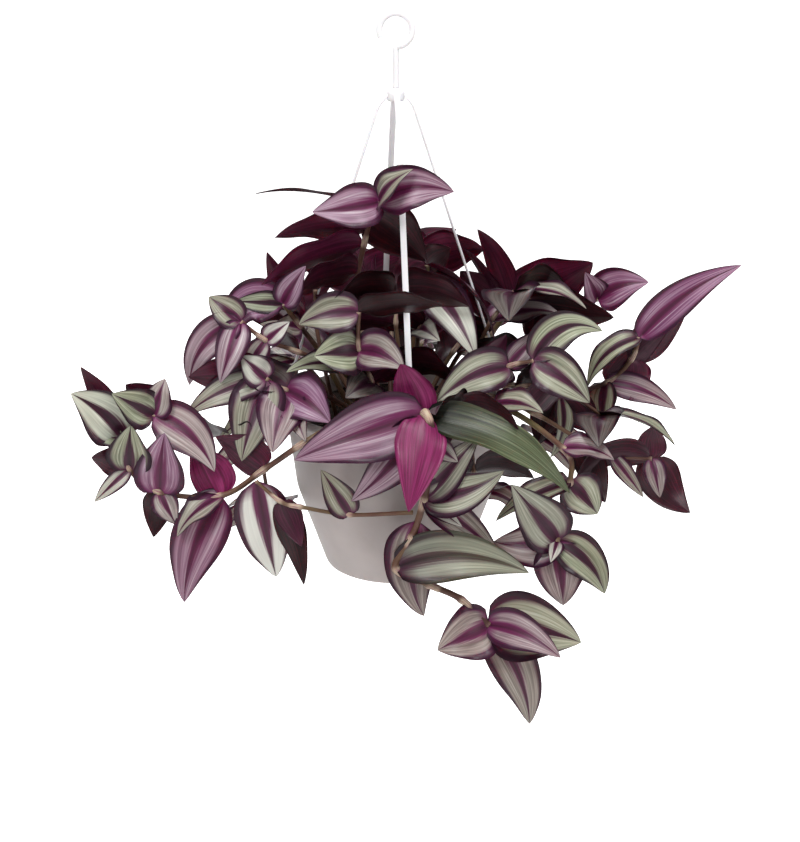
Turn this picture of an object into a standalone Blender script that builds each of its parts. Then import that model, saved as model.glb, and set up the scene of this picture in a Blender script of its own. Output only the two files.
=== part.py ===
"""A tradescantia in a white plastic hanging pot.

The origin is where the hook bears on whatever holds it up. The plant is laid out in centimetres from the
centre of the pot's rim, with -Y the side it is seen from. Each shoot is a stem through its leaf nodes, and
each leaf grows from one of those nodes to its own tip.
"""

import math

import bpy
import numpy as np
from mathutils import Vector
from mathutils.bvhtree import BVHTree

CM = 0.01
GAP = 0.03
RIM_DROP = 24.4

RIM_RADIUS = 7.1
RIM_LIP = 0.3
RIM_DEEP = 0.6
POT_HEIGHT = 11.0
SHOULDER_RADIUS = 6.5
SHOULDER_DEPTH = 5.5
BASE_RADIUS = 4.6
WALL = 0.2
POT_STEPS = 32
SOIL_DEPTH = 1.0
FOOT = -0.95

APEX = 19.7
STRAND_WIDE = 0.38
STRAND_THICK = 0.15
STRAND_TURN = 7.5
HUB_RADIUS = 0.55
HUB_HIGH = 0.8
HOOK_ROD = 0.2
HOOK_RADIUS = 1.0
HOOK_SIDES = 8

STEM_SIDES = 5
STEM_STEPS = 2
STEM_TAPER = 0.75
FILLER_STEM = 0.15
FAR_STEM = 0.17
BLADE_THICK = 0.1
BLADE_STATIONS = (0.0, 0.2, 0.6, 1.0)
BLADE_FOLD = 0.18
TEST_THICK = 0.22
BROADER = 1.12

PLASTIC = ("F2EDEB", 0.42)
COMPOST = ("3A2A20", 0.95)
STEM = ("7A4A3A", 0.5)

# A named leaf's mean colour by its tone.
TONES = {"lilac": "6E4A66", "green": "7C7A68", "pale": "A89AA0", "plain": "5F6E50", "dark": "3A2430",
         "magenta": "8E2C5C", "purple": "70406A", "silver": "C0BCB4", "frosted": "8C9078"}
LEAF_ROUGHNESS = 0.38
SHARP_EDGE = math.radians(40)

# Which way a blade's upper side faces.
FACING = {
    "front": (0, -1, 0.45),
    "up": (0, -0.35, 0.95),
    "edge": (0, 0.31, 0.95),
    "under": (0, 0.8, 0.6),
    "back": (0, 1, 0.1),
    "left": (-0.8, -0.6, 0.4),
    "right": (0.8, -0.6, 0.4),
}


def leaf(name, node, tip, width, facing="front", arch=0.3, sweep=0.0, tone="lilac"):
    """One leaf: its own name, or "" when it is joined to its stem; the stem node it grows from; its tip."""
    if isinstance(facing, str):
        facing = FACING[facing]
    return dict(name=name, node=node, tip=tip, width=BROADER * width, faces=facing, arch=arch, sweep=sweep,
                tone=tone)


# Each shoot: the stem's radius, its nodes from the soil outwards, and its leaves.
SHOOTS = {
    "shoot_top": (0.2, [(-1, 0.5, FOOT), (-2, 0, 4.5), (-2.5, -0.5, 7.5), (-2, -1, 10.5),
                        (-1.5, -2, 12.5), (-1, -3.5, 13.75)], [
        leaf("leaf_top_arching", 5, (1, -4.5, 16), 1.9, "left", 0.7, -0.3, "green"),
        leaf("leaf_top_right", 5, (3.5, -4.5, 14.5), 2.6, "front", 0.5, 0.5, "purple"),
        leaf("leaf_top_left", 5, (-5, -5, 13.5), 2.5, "front", 0.3, 0.2, "purple"),
        leaf("", 4.6, (-8.5, -2.5, 14.5), 1.0, "edge", 0.3),
        leaf("", 3.6, (-7.5, -1.5, 11.5), 2.6, "under", 0.3),
        leaf("", 3, (-8.5, -2, 9.5), 2.6, "under", 0.3),
        leaf("leaf_top_hanging", 4, (2, -1, 9.5), 3.0, "back", 0.5),
        leaf("", 2.4, (-6.5, -2, 8), 2.8, "under", 0.3),
        leaf("", 1, (-5, -3, 8), 2.2, "under", 0.3),
        leaf("", 2, (1, -2.5, 6.5), 2.6, "under", 0.4, 0, "dark"),
    ]),
    "shoot_mid_top": (0.16, [(1, 1, FOOT), (1.5, 1, 4.5), (2, 0.5, 7.5), (2, 0, 9)], [
        leaf("", 3, (6.5, -1, 4), 1.6, "edge", 0.9),
        leaf("", 3, (3.5, 0.5, 10), 1.8, "back", 0.2),
        leaf("", 2, (5, -4, 4), 2.5, "front", 0.6, 0.3, "pale"),
        leaf("", 1, (2.5, -4.5, 5.5), 1.8, "front", 0.3, 0, "pale"),
        leaf("", 2, (5, 1.5, 5.5), 2.4, "back", 0.3),
        leaf("", 3, (0, -1.5, 6.5), 2.6, "back", 0.3),
        leaf("", 1, (-1.5, -2, 6), 2.4, "under", 0.3),
    ]),
    "shoot_upper_right": (0.2, [(2.25, 2, FOOT), (5, 2, 1.5), (6, 2, 3.5), (7, 2, 5),
                                (7.5, 1.75, 6), (10, 1.5, 6.5), (13, 1, 6.5)], [
        leaf("", 4, (5, 0, 11.5), 1.5, "back", 0.3, 0.3),
        leaf("", 3, (4.5, 1, 10), 1.2, "edge", 0.3),
        leaf("", 3, (4, 0, 8.5), 2.2, "back", 0.3),
        leaf("", 4, (12.5, -0.5, 9.5), 3.4, "back", 0.4, 0.3),
        leaf("", 4, (14, -1, 6), 3.0, "back", 0.4, 0.3),
        leaf("", 2, (3.5, 2, 4.5), 2.4, "under", 0.3),
        leaf("", 1, (9.5, 3.5, 2.5), 2.8, "up", 0.5),
        leaf("", 6, (12, 0, 8.5), 1.6, "front", 0.3, 0, "purple"),
        leaf("", 6, (16, -0.5, 8), 2.4, "front", 0.4, 0.3, "purple"),
        leaf("", 5, (9, -1.5, 3.5), 2.6, "back", 0.3),
    ]),
    "shoot_right_up": (0.18, [(3.25, 0.75, FOOT), (7, 0, 1), (10.5, -1, 0.75), (13.5, -1, 1.5),
                              (15, -1, 3), (15.5, -1, 4.5)], [
        leaf("", 4, (18.5, -1, 8), 2.2, "back", 0.3, 0.4),
        leaf("leaf_right_tip", 5, (21.5, -2, 9.5), 2.0, "front", 0.4, 0.5, "purple"),
        leaf("", 3, (17.5, -1, 5.5), 1.8, "back", 0.2),
        leaf("", 5, (12, -2, 1.5), 1.8, "left", 1.0, 0, "green"),
        leaf("", 3, (13.5, -2, -1.5), 2.3, "left", 0.4, 0, "green"),
        leaf("", 4, (15, -2, 0.5), 2.4, "back", 0.3),
        leaf("", 3, (18, -2, 0), 1.6, "front", 0.4, 0.3),
        leaf("", 2, (10, -3, -3), 1.8, "right", 0.6, 0, "green"),
        leaf("", 2, (9, -2, -2.5), 2.2, "back", 0.3),
        leaf("", 2, (13, -2.5, -1.5), 2.2, "back", 0.3),
        leaf("", 1, (8.5, 3, 3), 2.6, "up", 0.4),
    ]),
    "shoot_right_far": (0.16, [(2.25, -1, FOOT), (5.5, -3, 1.25), (8.5, -4, 0.5), (11.5, -5, -1),
                               (13.5, -5, -2), (16, -5, -2.25)], [
        leaf("", 5, (18.5, -6, -5.5), 2.4, "back", 0.6, 0.5),
        leaf("", 5, (16.5, -6, -4.5), 1.3, "front", 0.2),
        leaf("", 5, (11, -6, -3.5), 1.6, "back", 0.3, 1.0),
        leaf("", 4, (15.5, -6, -4.5), 1, "front", 0.2, 0, "green"),
        leaf("", 5, (16, -5, 0), 1.7, "back", 0.2),
        leaf("", 3, (13, -7, -4.5), 1.8, "back", 0.3),
        leaf("", 2, (10.5, -5, 3), 2.2, "under", 0.3),
    ]),
    "shoot_right_mid": (0.16, [(2.75, -2.25, FOOT), (5, -3, 2), (7, -4, 3.5), (8.5, -4.5, 4)], [
        leaf("", 3, (13, -3, 5.5), 2.1, "front", 0.6, 1.1, "green"),
        leaf("leaf_mid_left", 2, (2.5, -6.5, 2), 2.5, "front", 0.5, -0.4, "green"),
        leaf("", 2, (6.5, -5.5, 2), 1.5, "front", 0.2, 0, "young"),
        leaf("", 3, (12, -5, 1.5), 2.5, "front", 0.4, 0.2, "green"),
        leaf("", 1, (7, -2, 5), 1.8, "back", 0.2),
        leaf("", 2, (9, -3, 5.5), 1.5, "front", 0.2),
        leaf("", 1, (8.5, -5, 0), 2.6, "up", 0.4, 0, "dark"),
    ]),
    "shoot_lower_right": (0.2, [(3.5, -4, FOOT), (6, -5.5, 1.5), (10.25, -6.5, -1), (10.75, -7, -3),
                                (10, -7.5, -6.75)], [
        leaf("", 3, (6, -8, -5), 2.0, "up", 0.3, 0, "green"),
        leaf("", 3, (12.5, -7.5, -5), 2.5, "front", 0.3, 0, "green"),
        leaf("leaf_lower_up", 4, (7, -9, -2.5), 2.9, "front", 0.4, 0, "green"),
        leaf("", 4, (6, -9, -6.5), 2.5, "front", 0.3, 0.3),
        leaf("", 4, (9.5, -9, -7.5), 0.9, "front", 0.1, 0, "young"),
        leaf("leaf_lower_down", 4, (10.5, -8, -11), 2.9, "front", 0.3),
        leaf("", 4, (13, -8, -10), 2.3, "front", 0.5, 0.5, "green"),
        leaf("", 2, (13.5, -7, -1.5), 2.0, "up", 0.4),
        leaf("", 1, (9, -7, 1.5), 2.4, "up", 0.4, 0, "green"),
    ]),
    "shoot_front": (0.25, [(1.25, -5, FOOT), (1.75, -8, 1.75), (2.25, -8.5, 0), (1.75, -8.5, -3.5),
                           (1, -8.5, -6), (0, -8.75, -8), (2, -9, -9), (4, -9, -10),
                           (5.75, -9, -11.75)], [
        leaf("leaf_front_striped", 1, (-6.25, -9, -0.75), 3.5, "front", 0.3, 0, "purple"),
        leaf("leaf_front_low", 1.2, (-2.75, -9.25, -3.5), 2.5, "front", 0.2, 0.3, "purple"),
        leaf("leaf_front_curled", 0.75, (0.25, -8.5, 5.5), 2.2, "back", 0.4, 0, "magenta"),
        leaf("leaf_front_magenta", 1, (0.75, -10.75, -3.25), 2.7, "back", -0.8, 0, "magenta"),
        leaf("leaf_front_green", 0.85, (10.75, -9.5, -2.75), 2.4, (0.3, -0.7, 0.8), 0.9, 0.6, "plain"),
        leaf("", 3, (5, -9, 0.5), 2, "front", 0.3),
        leaf("", 3, (6.5, -9, -1.5), 2.3, "front", 0.3, -0.5, "green"),
        leaf("", 3, (4, -9.5, -5), 1.1, "front", 0.1, 0, "young"),
        leaf("", 3, (6.5, -9, -7.5), 1.8, "front", 0.3, 0.2),
        leaf("", 2, (3.75, -9, -1), 1.2, "front", 0.1),
        leaf("", 2, (3.5, -8.75, 1), 1.4, "back", 0.1),
        leaf("leaf_low_silver", 5, (8.25, -10.25, -8.5), 2.8, "front", 0.8, 0.9, "frosted"),
        leaf("", 3.6, (1.75, -8.75, -11.75), 2.9, "front", 0.1, -0.6),
        leaf("leaf_bottom_left", 8, (2.5, -10, -12.25), 3.1, "front", 0.5),
        leaf("leaf_bottom_right", 8, (11.5, -10, -12.5), 3.8, "front", 0.4, 0.3, "green"),
        leaf("", 8, (10, -12, -12.5), 2.2, "front", 0.5, 0.4),
        leaf("leaf_bottom_down", 8, (8.5, -9, -19), 2.6, "front", 0.5, 0.6),
    ]),
    "shoot_front_left": (0.14, [(1.05, -8.4, -4.5), (-2.75, -8.75, -4.5), (-5.75, -8.75, -4),
                                (-7, -8.5, -3.75), (-8.5, -8.25, -2.5)], [
        leaf("", 3, (-5.75, -9, -6.5), 1.5, "back", 0.2),
        leaf("", 3, (-5.5, -9, -9), 1.6, "back", 0.3),
        leaf("", 1, (-4.5, -9, -1.5), 1.7, "front", 0.2, 0, "green"),
        leaf("leaf_left_bright", 4, (-7.5, -9, -9.75), 3.0, "front", 0.3, 0, "silver"),
    ]),
    "shoot_left": (0.2, [(-0.75, -3, FOOT), (-3, -6.5, 0.75), (-5.5, -7.5, -0.25), (-8, -7.5, -2),
                         (-10.75, -7.5, -3.75), (-14.5, -7.5, -3.5), (-16.25, -7.5, -2),
                         (-16.5, -7.25, 0)], [
        leaf("", 7, (-19.5, -8, 3), 2.9, "front", 0.3, -0.3, "pale"),
        leaf("", 7, (-19, -7, 4.5), 1.5, "back", 0.2),
        leaf("", 7, (-18.5, -8, 0.5), 1.4, "front", 0.2, 0, "green"),
        leaf("", 6, (-18.5, -8, -1), 2.0, "back", 0.3),
        leaf("", 6, (-18.5, -8, -4), 1.0, "front", 0.2, 0, "young"),
        leaf("", 5, (-14, -8, 0.5), 2.8, "front", 0.3, 0, "purple"),
        leaf("", 6, (-16, -8, 1), 2.5, "front", 0.3, 0, "green"),
        leaf("", 5, (-15, -7.5, -6.5), 1.7, "back", 0.2),
        leaf("", 5, (-13.5, -8, -5.5), 1.5, "front", 0.2),
        leaf("", 4, (-13.5, -8.5, -5.75), 1.9, "up", 0.4, 0, "green"),
        leaf("leaf_left_long", 4, (-13.25, -8.75, -10.5), 3.0, "front", 0.3, -0.4, "purple"),
        leaf("", 4, (-12.5, -7, -0.5), 2.5, "back", 0.3, 0, "magenta"),
        leaf("", 3, (-11, -7, 0), 2.2, "back", 0.3),
    ]),
    "shoot_left_side": (0.13, [(-14.5, -7.1, -3.2), (-14.5, -6.75, -1), (-14.75, -6.75, 1.25)], [
        leaf("", 2, (-11, -8, -2), 2.5, "front", 0.3, 0.6),
        leaf("", 2, (-14, -6.5, 3.5), 1.8, "front", 0.3),
        leaf("", 2, (-16.5, -6, 3), 2.2, "back", 0.4),
        leaf("", 2, (-17, -8, 3), 2.2, "front", 0.3, 0, "green"),
    ]),
    "shoot_left_mid": (0.16, [(-1.75, -1, FOOT), (-4.75, -4, 1.75), (-6.75, -5, 2.25), (-8, -5, 3)], [
        leaf("", 3, (-13, -6, 1), 1.8, "front", 0.4, -0.3, "green"),
        leaf("", 3, (-11, -6, -0.5), 1.4, "front", 0.4, 0.4, "green"),
        leaf("", 3, (-9.5, -7, -1.5), 3.0, "front", 0.3, 0, "green"),
        leaf("", 2, (-7.5, -7, -1), 2.8, "front", 0.3),
        leaf("", 3, (-12.75, -6, 3.5), 2.5, "back", 0.3),
        leaf("", 2, (-4, -7.5, 1), 2.8, "front", 0.3, 0.2, "purple"),
        leaf("", 2, (-5.5, -7, -0.5), 1.6, "front", 0.2),
        leaf("", 3, (-9.5, -5, 4.5), 1.9, "front", 0.3, 0, "pale"),
        leaf("", 2, (-10.5, -2, 3), 2.8, "up", 0.4, 0, "dark"),
    ]),
    "shoot_upper_left": (0.16, [(-2.25, 0.25, FOOT), (-3.25, -2, 2.5), (-6, -3.5, 4.25), (-8, -4.25, 5.25),
                                (-9.5, -4.5, 6.5)], [
        leaf("leaf_upper_drooping", 4, (-12.75, -5, 2.5), 2.0, "front", 0.5, -0.8, "purple"),
        leaf("", 4, (-10.75, -5, 2.5), 1.8, "front", 0.3, 0, "purple"),
        leaf("", 3, (-9.5, -5, 3), 1.3, "front", 0.2, 0, "young"),
        leaf("", 3, (-6.5, -4.5, 6.5), 1.3, "front", 0.2, 0, "young"),
        leaf("", 4, (-11.5, -4, 8), 1.8, "front", 0.3, 0, "green"),
        leaf("", 2, (-9, -1.5, 4.5), 2.6, "under", 0.4),
    ]),
    "shoot_upper_left_rear": (0.19, [(-3, 1.25, FOOT), (-4.75, 0, 3), (-6, -2, 5.5), (-7, -3, 7.25)], [
        leaf("", 3, (-10, -4.5, 5), 2.4, "front", 0.5, -1.3, "purple"),
        leaf("", 3, (-10, -3.5, 7.5), 1.3, "front", 0.2, 0, "green"),
        leaf("", 3, (-5.5, -3, 10), 1.7, "front", 0.2, 0, "purple"),
        leaf("", 2.7, (-8, -2.5, 10.5), 1.2, "back", 0.2),
        leaf("", 2, (-7.5, -4.5, 5.5), 1.5, "front", 0.2, 0, "green"),
        leaf("", 2, (-9.5, 0, 8), 2.6, "under", 0.4),
        leaf("", 1, (-9, 2, 4.5), 2.8, "up", 0.4),
    ]),
    "shoot_centre": (0.15, [(-0.75, -2, FOOT), (-1.5, -4, 2.5), (-2.25, -4.75, 4.75), (-2.25, -5, 7.25)], [
        leaf("", 2, (0.5, -7, 4.25), 2.5, "front", 0.3, 0.3),
        leaf("", 2, (-5, -6, 4.75), 2.8, "front", 0.4, 0, "green"),
        leaf("", 1, (-6.75, -6, 3.25), 2.5, "up", 0.6, -0.5, "green"),
        leaf("", 3, (-6, -5, 6.5), 2.3, "front", 0.3, -0.2, "green"),
        leaf("", 3, (3, -5.25, 8.5), 2.2, "under", 0.2, 0, "dark"),
        leaf("", 1, (-3, -7, 2.5), 2.6, "front", 0.4, 0, "dark"),
        leaf("", 1, (1, -5, 4), 2.4, "under", 0.3),
    ]),
}

# Shoots that fill the middle of the plant: their routes, which way their leaves point, how far and how wide.
INNER = {
    "shoot_inner_left": ([(-3.75, -1.5, FOOT), (-4.5, -2.5, 3), (-5, -2.5, 6), (-5, -2.5, 8)], 215, 4.8, 3.2),
    "shoot_inner_middle": ([(0, -1, FOOT), (0.25, -2.5, 3), (0, -3, 6), (0, -3.25, 8)], 265, 4.8, 3.2),
    "shoot_inner_right": ([(4, -0.75, FOOT), (5, -1, 3), (6, -1, 5.5), (7.5, -1, 7.5)], 320, 4.8, 3.2),
    "shoot_low_left": ([(-3.5, -3.5, FOOT), (-5.25, -5.5, 1.5), (-8.25, -6.25, 0.75), (-10, -6, -0.75)],
                       210, 4, 2.8),
    "shoot_low_middle": ([(1.75, -4, FOOT), (3.75, -6.5, 1.5), (4.5, -8, 0), (4.75, -8, -2)], 285, 3.8, 2.6),
    "shoot_low_right": ([(4.5, -2.75, FOOT), (7.5, -3, 1.75), (10.5, -3, 1.5), (13, -3, 0)], 320, 4.5, 2.8),
}

# The shoots on the far side: the way they leave the pot in degrees from +X, how far out, and how far down.
TRAILING = [(22, 11, -4), (50, 9.5, -9), (76, 11, -6), (106, 9.5, -10.5), (130, 11, -5), (156, 10, -9)]
STANDING = [(64, 3.5, 8.5), (118, 4.5, 7), (37, 7.5, 4.5), (148, 7.5, 4.5), (90, 7, 5)]


def around(degrees, out, z):
    """A point at a height, so far out from the pot's axis, in a direction in degrees from +X."""
    angle = math.radians(degrees)
    return (out * math.cos(angle), out * math.sin(angle), z)


def alternate_leaves(route, degrees, reach, drop, width):
    """Leaves that leave the stem's nodes to the left and right in turn, with a spray at its end."""
    rows = []
    for i, place in enumerate(route[1:], 1):
        for turn in (50, -50) if i < len(route) - 1 else (70, 5, -70):
            side = turn + (12 if i % 2 else -12)
            dx, dy, _ = around(degrees + side, reach, 0)
            tip = (place[0] + dx, place[1] + dy, place[2] + drop + 0.4 * (i % 3))
            outward = (0.5 * dx / reach, 0.5 * dy / reach, 0.85)
            rows.append(leaf("", i, tip, width, outward, 0.5, 0, "green" if i % 2 else "lilac"))
    return rows


def inner_shoots():
    """The shoots that fill the middle: two leaves in three turn their wine-red undersides to the viewer."""
    shoots = {}
    for name, (route, degrees, reach, width) in INNER.items():
        leaves = alternate_leaves(route, degrees, reach, -0.5, width)
        for row in leaves[::3] + leaves[1::3]:
            row["tone"] = "dark"
            row["faces"] = FACING["under"]
        shoots[name] = (FILLER_STEM, route, leaves)
    return shoots


def far_side_shoots():
    """The shoots behind the plant: those that spill over the rim, and those that stand."""
    shoots = {}
    for k, (degrees, out, low) in enumerate(TRAILING, 1):
        route = [around(degrees, 4, FOOT), around(degrees, 7, 1.75), around(degrees, out - 0.75, 0.5),
                 around(degrees, out, low / 2), around(degrees, out - 0.5, low)]
        leaves = alternate_leaves(route, degrees, 4.2, -1.5, 2.5)
        shoots[f"shoot_trailing_{k}"] = (FAR_STEM, route, leaves)
    for k, (degrees, out, high) in enumerate(STANDING, 1):
        route = [around(degrees + 8, 2.5, FOOT), around(degrees + 4, 0.4 * out + 2, high / 2),
                 around(degrees, out, high)]
        leaves = alternate_leaves(route, degrees, 4.5, 0.5, 2.6)
        for row in leaves:
            row["faces"] = FACING["back"]
        shoots[f"shoot_standing_{k}"] = (FAR_STEM, route, leaves)
    return shoots


def unit(v):
    """The vector at a length of one."""
    return v / max(np.linalg.norm(v), 1e-9)


def smooth_route(points, steps):
    """A smooth line through the points, with the same number of steps between each two."""
    p = np.array(points, float)
    p = np.vstack([2 * p[0] - p[1], p, 2 * p[-1] - p[-2]])
    t = (np.arange(steps) / steps)[:, None]
    line = []
    for a, b, c, d in zip(p, p[1:], p[2:], p[3:]):
        cubic = (3 * b - a - 3 * c + d) * t**3
        line.append(0.5 * (2 * b + (c - a) * t + (2 * a - 5 * b + 4 * c - d) * t**2 + cubic))
    return np.vstack(line + [p[-2][None]])


def outline(t):
    """The blade's half width at t, as a share of the most: a narrow sheath, a broad middle, a pointed tip."""
    return 0.10 * (1 - t) ** 3 + np.clip(np.sin(np.pi * t**0.62), 0, 1) ** 0.85


def blade_line(base, row, t):
    """The midrib's points, and the directions across the blade and out of its upper side, at each t."""
    chord = np.array(row["tip"], float) - base
    along = unit(chord)
    faces = np.array(row["faces"], float)
    n = unit(faces - np.dot(faces, along) * along)
    side = np.cross(n, along)
    bow = (4 * t * (1 - t))[:, None]
    mid = base + t[:, None] * chord + bow * (row["arch"] * n + row["sweep"] * side)
    slope = (4 - 8 * t)[:, None]
    tangent = chord + slope * (row["arch"] * n + row["sweep"] * side)
    tangent /= np.linalg.norm(tangent, axis=1)[:, None]
    lift = n - (tangent @ n)[:, None] * tangent
    lift /= np.linalg.norm(lift, axis=1)[:, None]
    return mid, np.cross(lift, tangent), lift


def blade_solid(base, row, thick):
    """A closed blade, thick at the midrib and sharp at its edges and tip: points and faces."""
    t = np.array(BLADE_STATIONS)
    mid, across, lift = blade_line(base, row, t)
    half = (row["width"] / 2 * outline(t))[:, None]
    rise = BLADE_FOLD * half
    body = thick / 2 * np.sqrt(1 - 0.9 * t)[:, None]
    rings = np.stack([mid - across * half + lift * rise, mid + lift * body,
                      mid + across * half + lift * rise, mid - lift * body], axis=1)[:-1]
    points = np.vstack([rings.reshape(-1, 3), mid[-1:]])
    faces = [(3, 2, 1, 0)]
    for i in range(len(t) - 2):
        for j in range(4):
            k = (j + 1) % 4
            faces.append((4 * i + j, 4 * i + k, 4 * i + 4 + k, 4 * i + 4 + j))
    last = 4 * (len(t) - 2)
    faces += [(last + j, last + (j + 1) % 4, len(points) - 1) for j in range(4)]
    return points, outward(points, faces)


def outward(points, faces):
    """The faces, turned round if they enclose a negative volume."""
    volume = 0.0
    for face in faces:
        for a, b in zip(face[1:], face[2:]):
            volume += np.dot(points[face[0]], np.cross(points[a], points[b]))
    return faces if volume > 0 else [tuple(reversed(face)) for face in faces]


def tube_solid(line, radius, sides, taper=1.0):
    """A tube of even rings along the line, with flat ends: points and faces."""
    tangent = np.gradient(line, axis=0)
    if line[0][2] == FOOT:
        tangent[0] = (0, 0, 1)
    tangent /= np.linalg.norm(tangent, axis=1)[:, None]
    level = unit(np.cross(tangent[0], (0.3, 0.9, 0.2)))
    turn = 2 * np.pi * np.arange(sides) / sides
    size = radius * np.linspace(1, taper, len(line))
    rings = []
    for place, way, r in zip(line, tangent, size):
        level = unit(level - np.dot(level, way) * way)
        other = np.cross(way, level)
        rings.append(place + r * (np.cos(turn)[:, None] * level + np.sin(turn)[:, None] * other))
    return ring_solid(rings)


def ring_solid(rings):
    """Rings of the same number of points joined into a closed solid with flat ends."""
    count = len(rings[0])
    points = np.vstack(rings)
    faces = [tuple(range(count)), tuple((len(rings) - 1) * count + i for i in reversed(range(count)))]
    for i in range(len(rings) - 1):
        for j in range(count):
            k = (j + 1) % count
            faces.append((i * count + j, (i + 1) * count + j, (i + 1) * count + k, i * count + k))
    return points, outward(points, faces)


def revolved(profile):
    """A closed profile of (radius, height), from axis to axis, turned about the axis."""
    turn = 2 * np.pi * np.arange(POT_STEPS) / POT_STEPS
    points = [(0, 0, profile[0][1])]
    for r, z in profile[1:-1]:
        points += [(r * math.cos(a), r * math.sin(a), z) for a in turn]
    points.append((0, 0, profile[-1][1]))
    last = len(points) - 1
    faces = []
    for j in range(POT_STEPS):
        k = (j + 1) % POT_STEPS
        faces.append((0, 1 + k, 1 + j))
        faces.append((last, last - POT_STEPS + j, last - POT_STEPS + k))
        for i in range(len(profile) - 3):
            a = 1 + i * POT_STEPS
            faces.append((a + j, a + k, a + POT_STEPS + k, a + POT_STEPS + j))
    points = np.array(points)
    return points, outward(points, faces)


def material(name, look):
    """A Principled material from an sRGB hex colour and a roughness; nothing here is metal."""
    hex_colour, roughness = look
    made = bpy.data.materials.new(name)
    made.use_nodes = True
    shader = made.node_tree.nodes["Principled BSDF"]
    srgb = [int(hex_colour[i:i + 2], 16) / 255 for i in (0, 2, 4)]
    shader.inputs["Base Color"].default_value = [c**2.2 for c in srgb] + [1.0]
    shader.inputs["Roughness"].default_value = roughness
    shader.inputs["Metallic"].default_value = 0.0
    return made


def add(name, solid, slot, rim, smooth=False):
    """One object, hung from the empty at the rim's centre."""
    points, faces = solid
    mesh = bpy.data.meshes.new(name)
    mesh.from_pydata((points * CM).tolist(), [], faces)
    mesh.materials.append(slot)
    if smooth:
        mesh.shade_smooth()
        mesh.set_sharp_from_angle(angle=SHARP_EDGE)
    made = bpy.data.objects.new(name, mesh)
    made.parent = rim
    bpy.context.scene.collection.objects.link(made)
    return made


def join(target, solids, slot, rim):
    """Joins solids to the target with one Boolean over a collection of hidden helpers."""
    helpers = bpy.data.collections.new(target.name + "_joined")
    bpy.context.scene.collection.children.link(helpers)
    for i, solid in enumerate(solids):
        piece = add(f"{target.name}_helper_{i}", solid, slot, rim)
        bpy.context.scene.collection.objects.unlink(piece)
        helpers.objects.link(piece)
        piece.hide_render = True
        piece.display_type = "WIRE"
    boolean = target.modifiers.new("joined", "BOOLEAN")
    boolean.operation = "UNION"
    boolean.operand_type = "COLLECTION"
    boolean.collection = helpers
    boolean.solver = "EXACT"


def pot_solid():
    """A tapered tub with an even wall, a small shoulder half way and a plain lip round its rim."""
    lip = RIM_RADIUS + RIM_LIP
    inner = RIM_RADIUS - WALL
    return revolved([
        (0, -POT_HEIGHT), (BASE_RADIUS - 0.15, -POT_HEIGHT), (BASE_RADIUS, -POT_HEIGHT + 0.15),
        (SHOULDER_RADIUS, -SHOULDER_DEPTH), (RIM_RADIUS, -RIM_DEEP), (lip - 0.05, -RIM_DEEP),
        (lip, -RIM_DEEP / 2), (lip - 0.1, 0), (inner + 0.1, 0), (inner, -0.1),
        (SHOULDER_RADIUS - WALL, -SHOULDER_DEPTH), (BASE_RADIUS - WALL, -POT_HEIGHT + 2 * WALL),
        (BASE_RADIUS - 2 * WALL, -POT_HEIGHT + WALL), (0, -POT_HEIGHT + WALL),
    ])


def soil_solid():
    """The compost, which follows the pot's inside with a gap and stops below the rim."""
    inside = WALL + GAP
    share = (SOIL_DEPTH - 0.1) / (SHOULDER_DEPTH - 0.1)
    top = RIM_RADIUS + share * (SHOULDER_RADIUS - RIM_RADIUS) - inside
    return revolved([
        (0, -POT_HEIGHT + WALL + GAP), (BASE_RADIUS - 2 * inside, -POT_HEIGHT + WALL + GAP),
        (BASE_RADIUS - inside, -POT_HEIGHT + 2 * WALL + GAP), (SHOULDER_RADIUS - inside, -SHOULDER_DEPTH),
        (top, -SOIL_DEPTH), (0, -SOIL_DEPTH),
    ])


def strand_solid(degrees):
    """A flat strand from the hub down to the rim, ending in a clip that turns in under the rim."""
    lip = RIM_RADIUS + RIM_LIP
    outside = lip + STRAND_THICK / 2 + GAP
    route = np.array([
        (HUB_RADIUS + STRAND_THICK, APEX), (HUB_RADIUS + 0.5, APEX - 0.6), (lip - 0.45, 1.4), (outside, 0.3),
        (outside, -RIM_DEEP + 0.05), (lip - 0.1, -RIM_DEEP - 0.35),
    ])
    way = np.gradient(route, axis=0)
    way /= np.linalg.norm(way, axis=1)[:, None]
    normal = np.column_stack([-way[:, 1], way[:, 0]]) * STRAND_THICK / 2
    angle = math.radians(degrees)
    out = np.array([math.cos(angle), math.sin(angle), 0])
    level = np.array([-out[1], out[0], 0]) * STRAND_WIDE / 2
    rings = []
    for place, off in zip(route, normal):
        centre = out * place[0] + (0, 0, place[1])
        lift = out * off[0] + (0, 0, off[1])
        rings.append(np.array([centre - level - lift, centre + level - lift,
                               centre + level + lift, centre - level + lift]))
    return ring_solid(rings)


def hub_solid():
    """The button that the four strands hang from."""
    foot = APEX - HUB_HIGH / 2
    return revolved([(0, foot), (HUB_RADIUS - 0.1, foot), (HUB_RADIUS, foot + 0.1),
                     (HUB_RADIUS, foot + HUB_HIGH - 0.2), (HUB_RADIUS - 0.2, foot + HUB_HIGH),
                     (0, foot + HUB_HIGH)])


def hook_solid():
    """A rod up from the hub that turns through an open ring; its bearing point is the ring's inner top."""
    centre = RIM_DROP + HOOK_ROD - HOOK_RADIUS
    foot = APEX + HUB_HIGH / 2 + GAP
    angles = np.radians(np.linspace(-90, 205, 22))
    ring = [(HOOK_RADIUS * math.cos(a), 0, centre + HOOK_RADIUS * math.sin(a)) for a in angles]
    shank = [(0, 0, foot), (0, 0, (foot + ring[0][2]) / 2), (0, 0, ring[0][2] - 0.1)]
    return tube_solid(np.array(shank + ring[1:]), HOOK_ROD, HOOK_SIDES)


def tree_of(solid):
    """The solid's faces, sorted for overlap tests."""
    points, faces = solid
    return BVHTree.FromPolygons([Vector(p) for p in points], faces)


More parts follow.
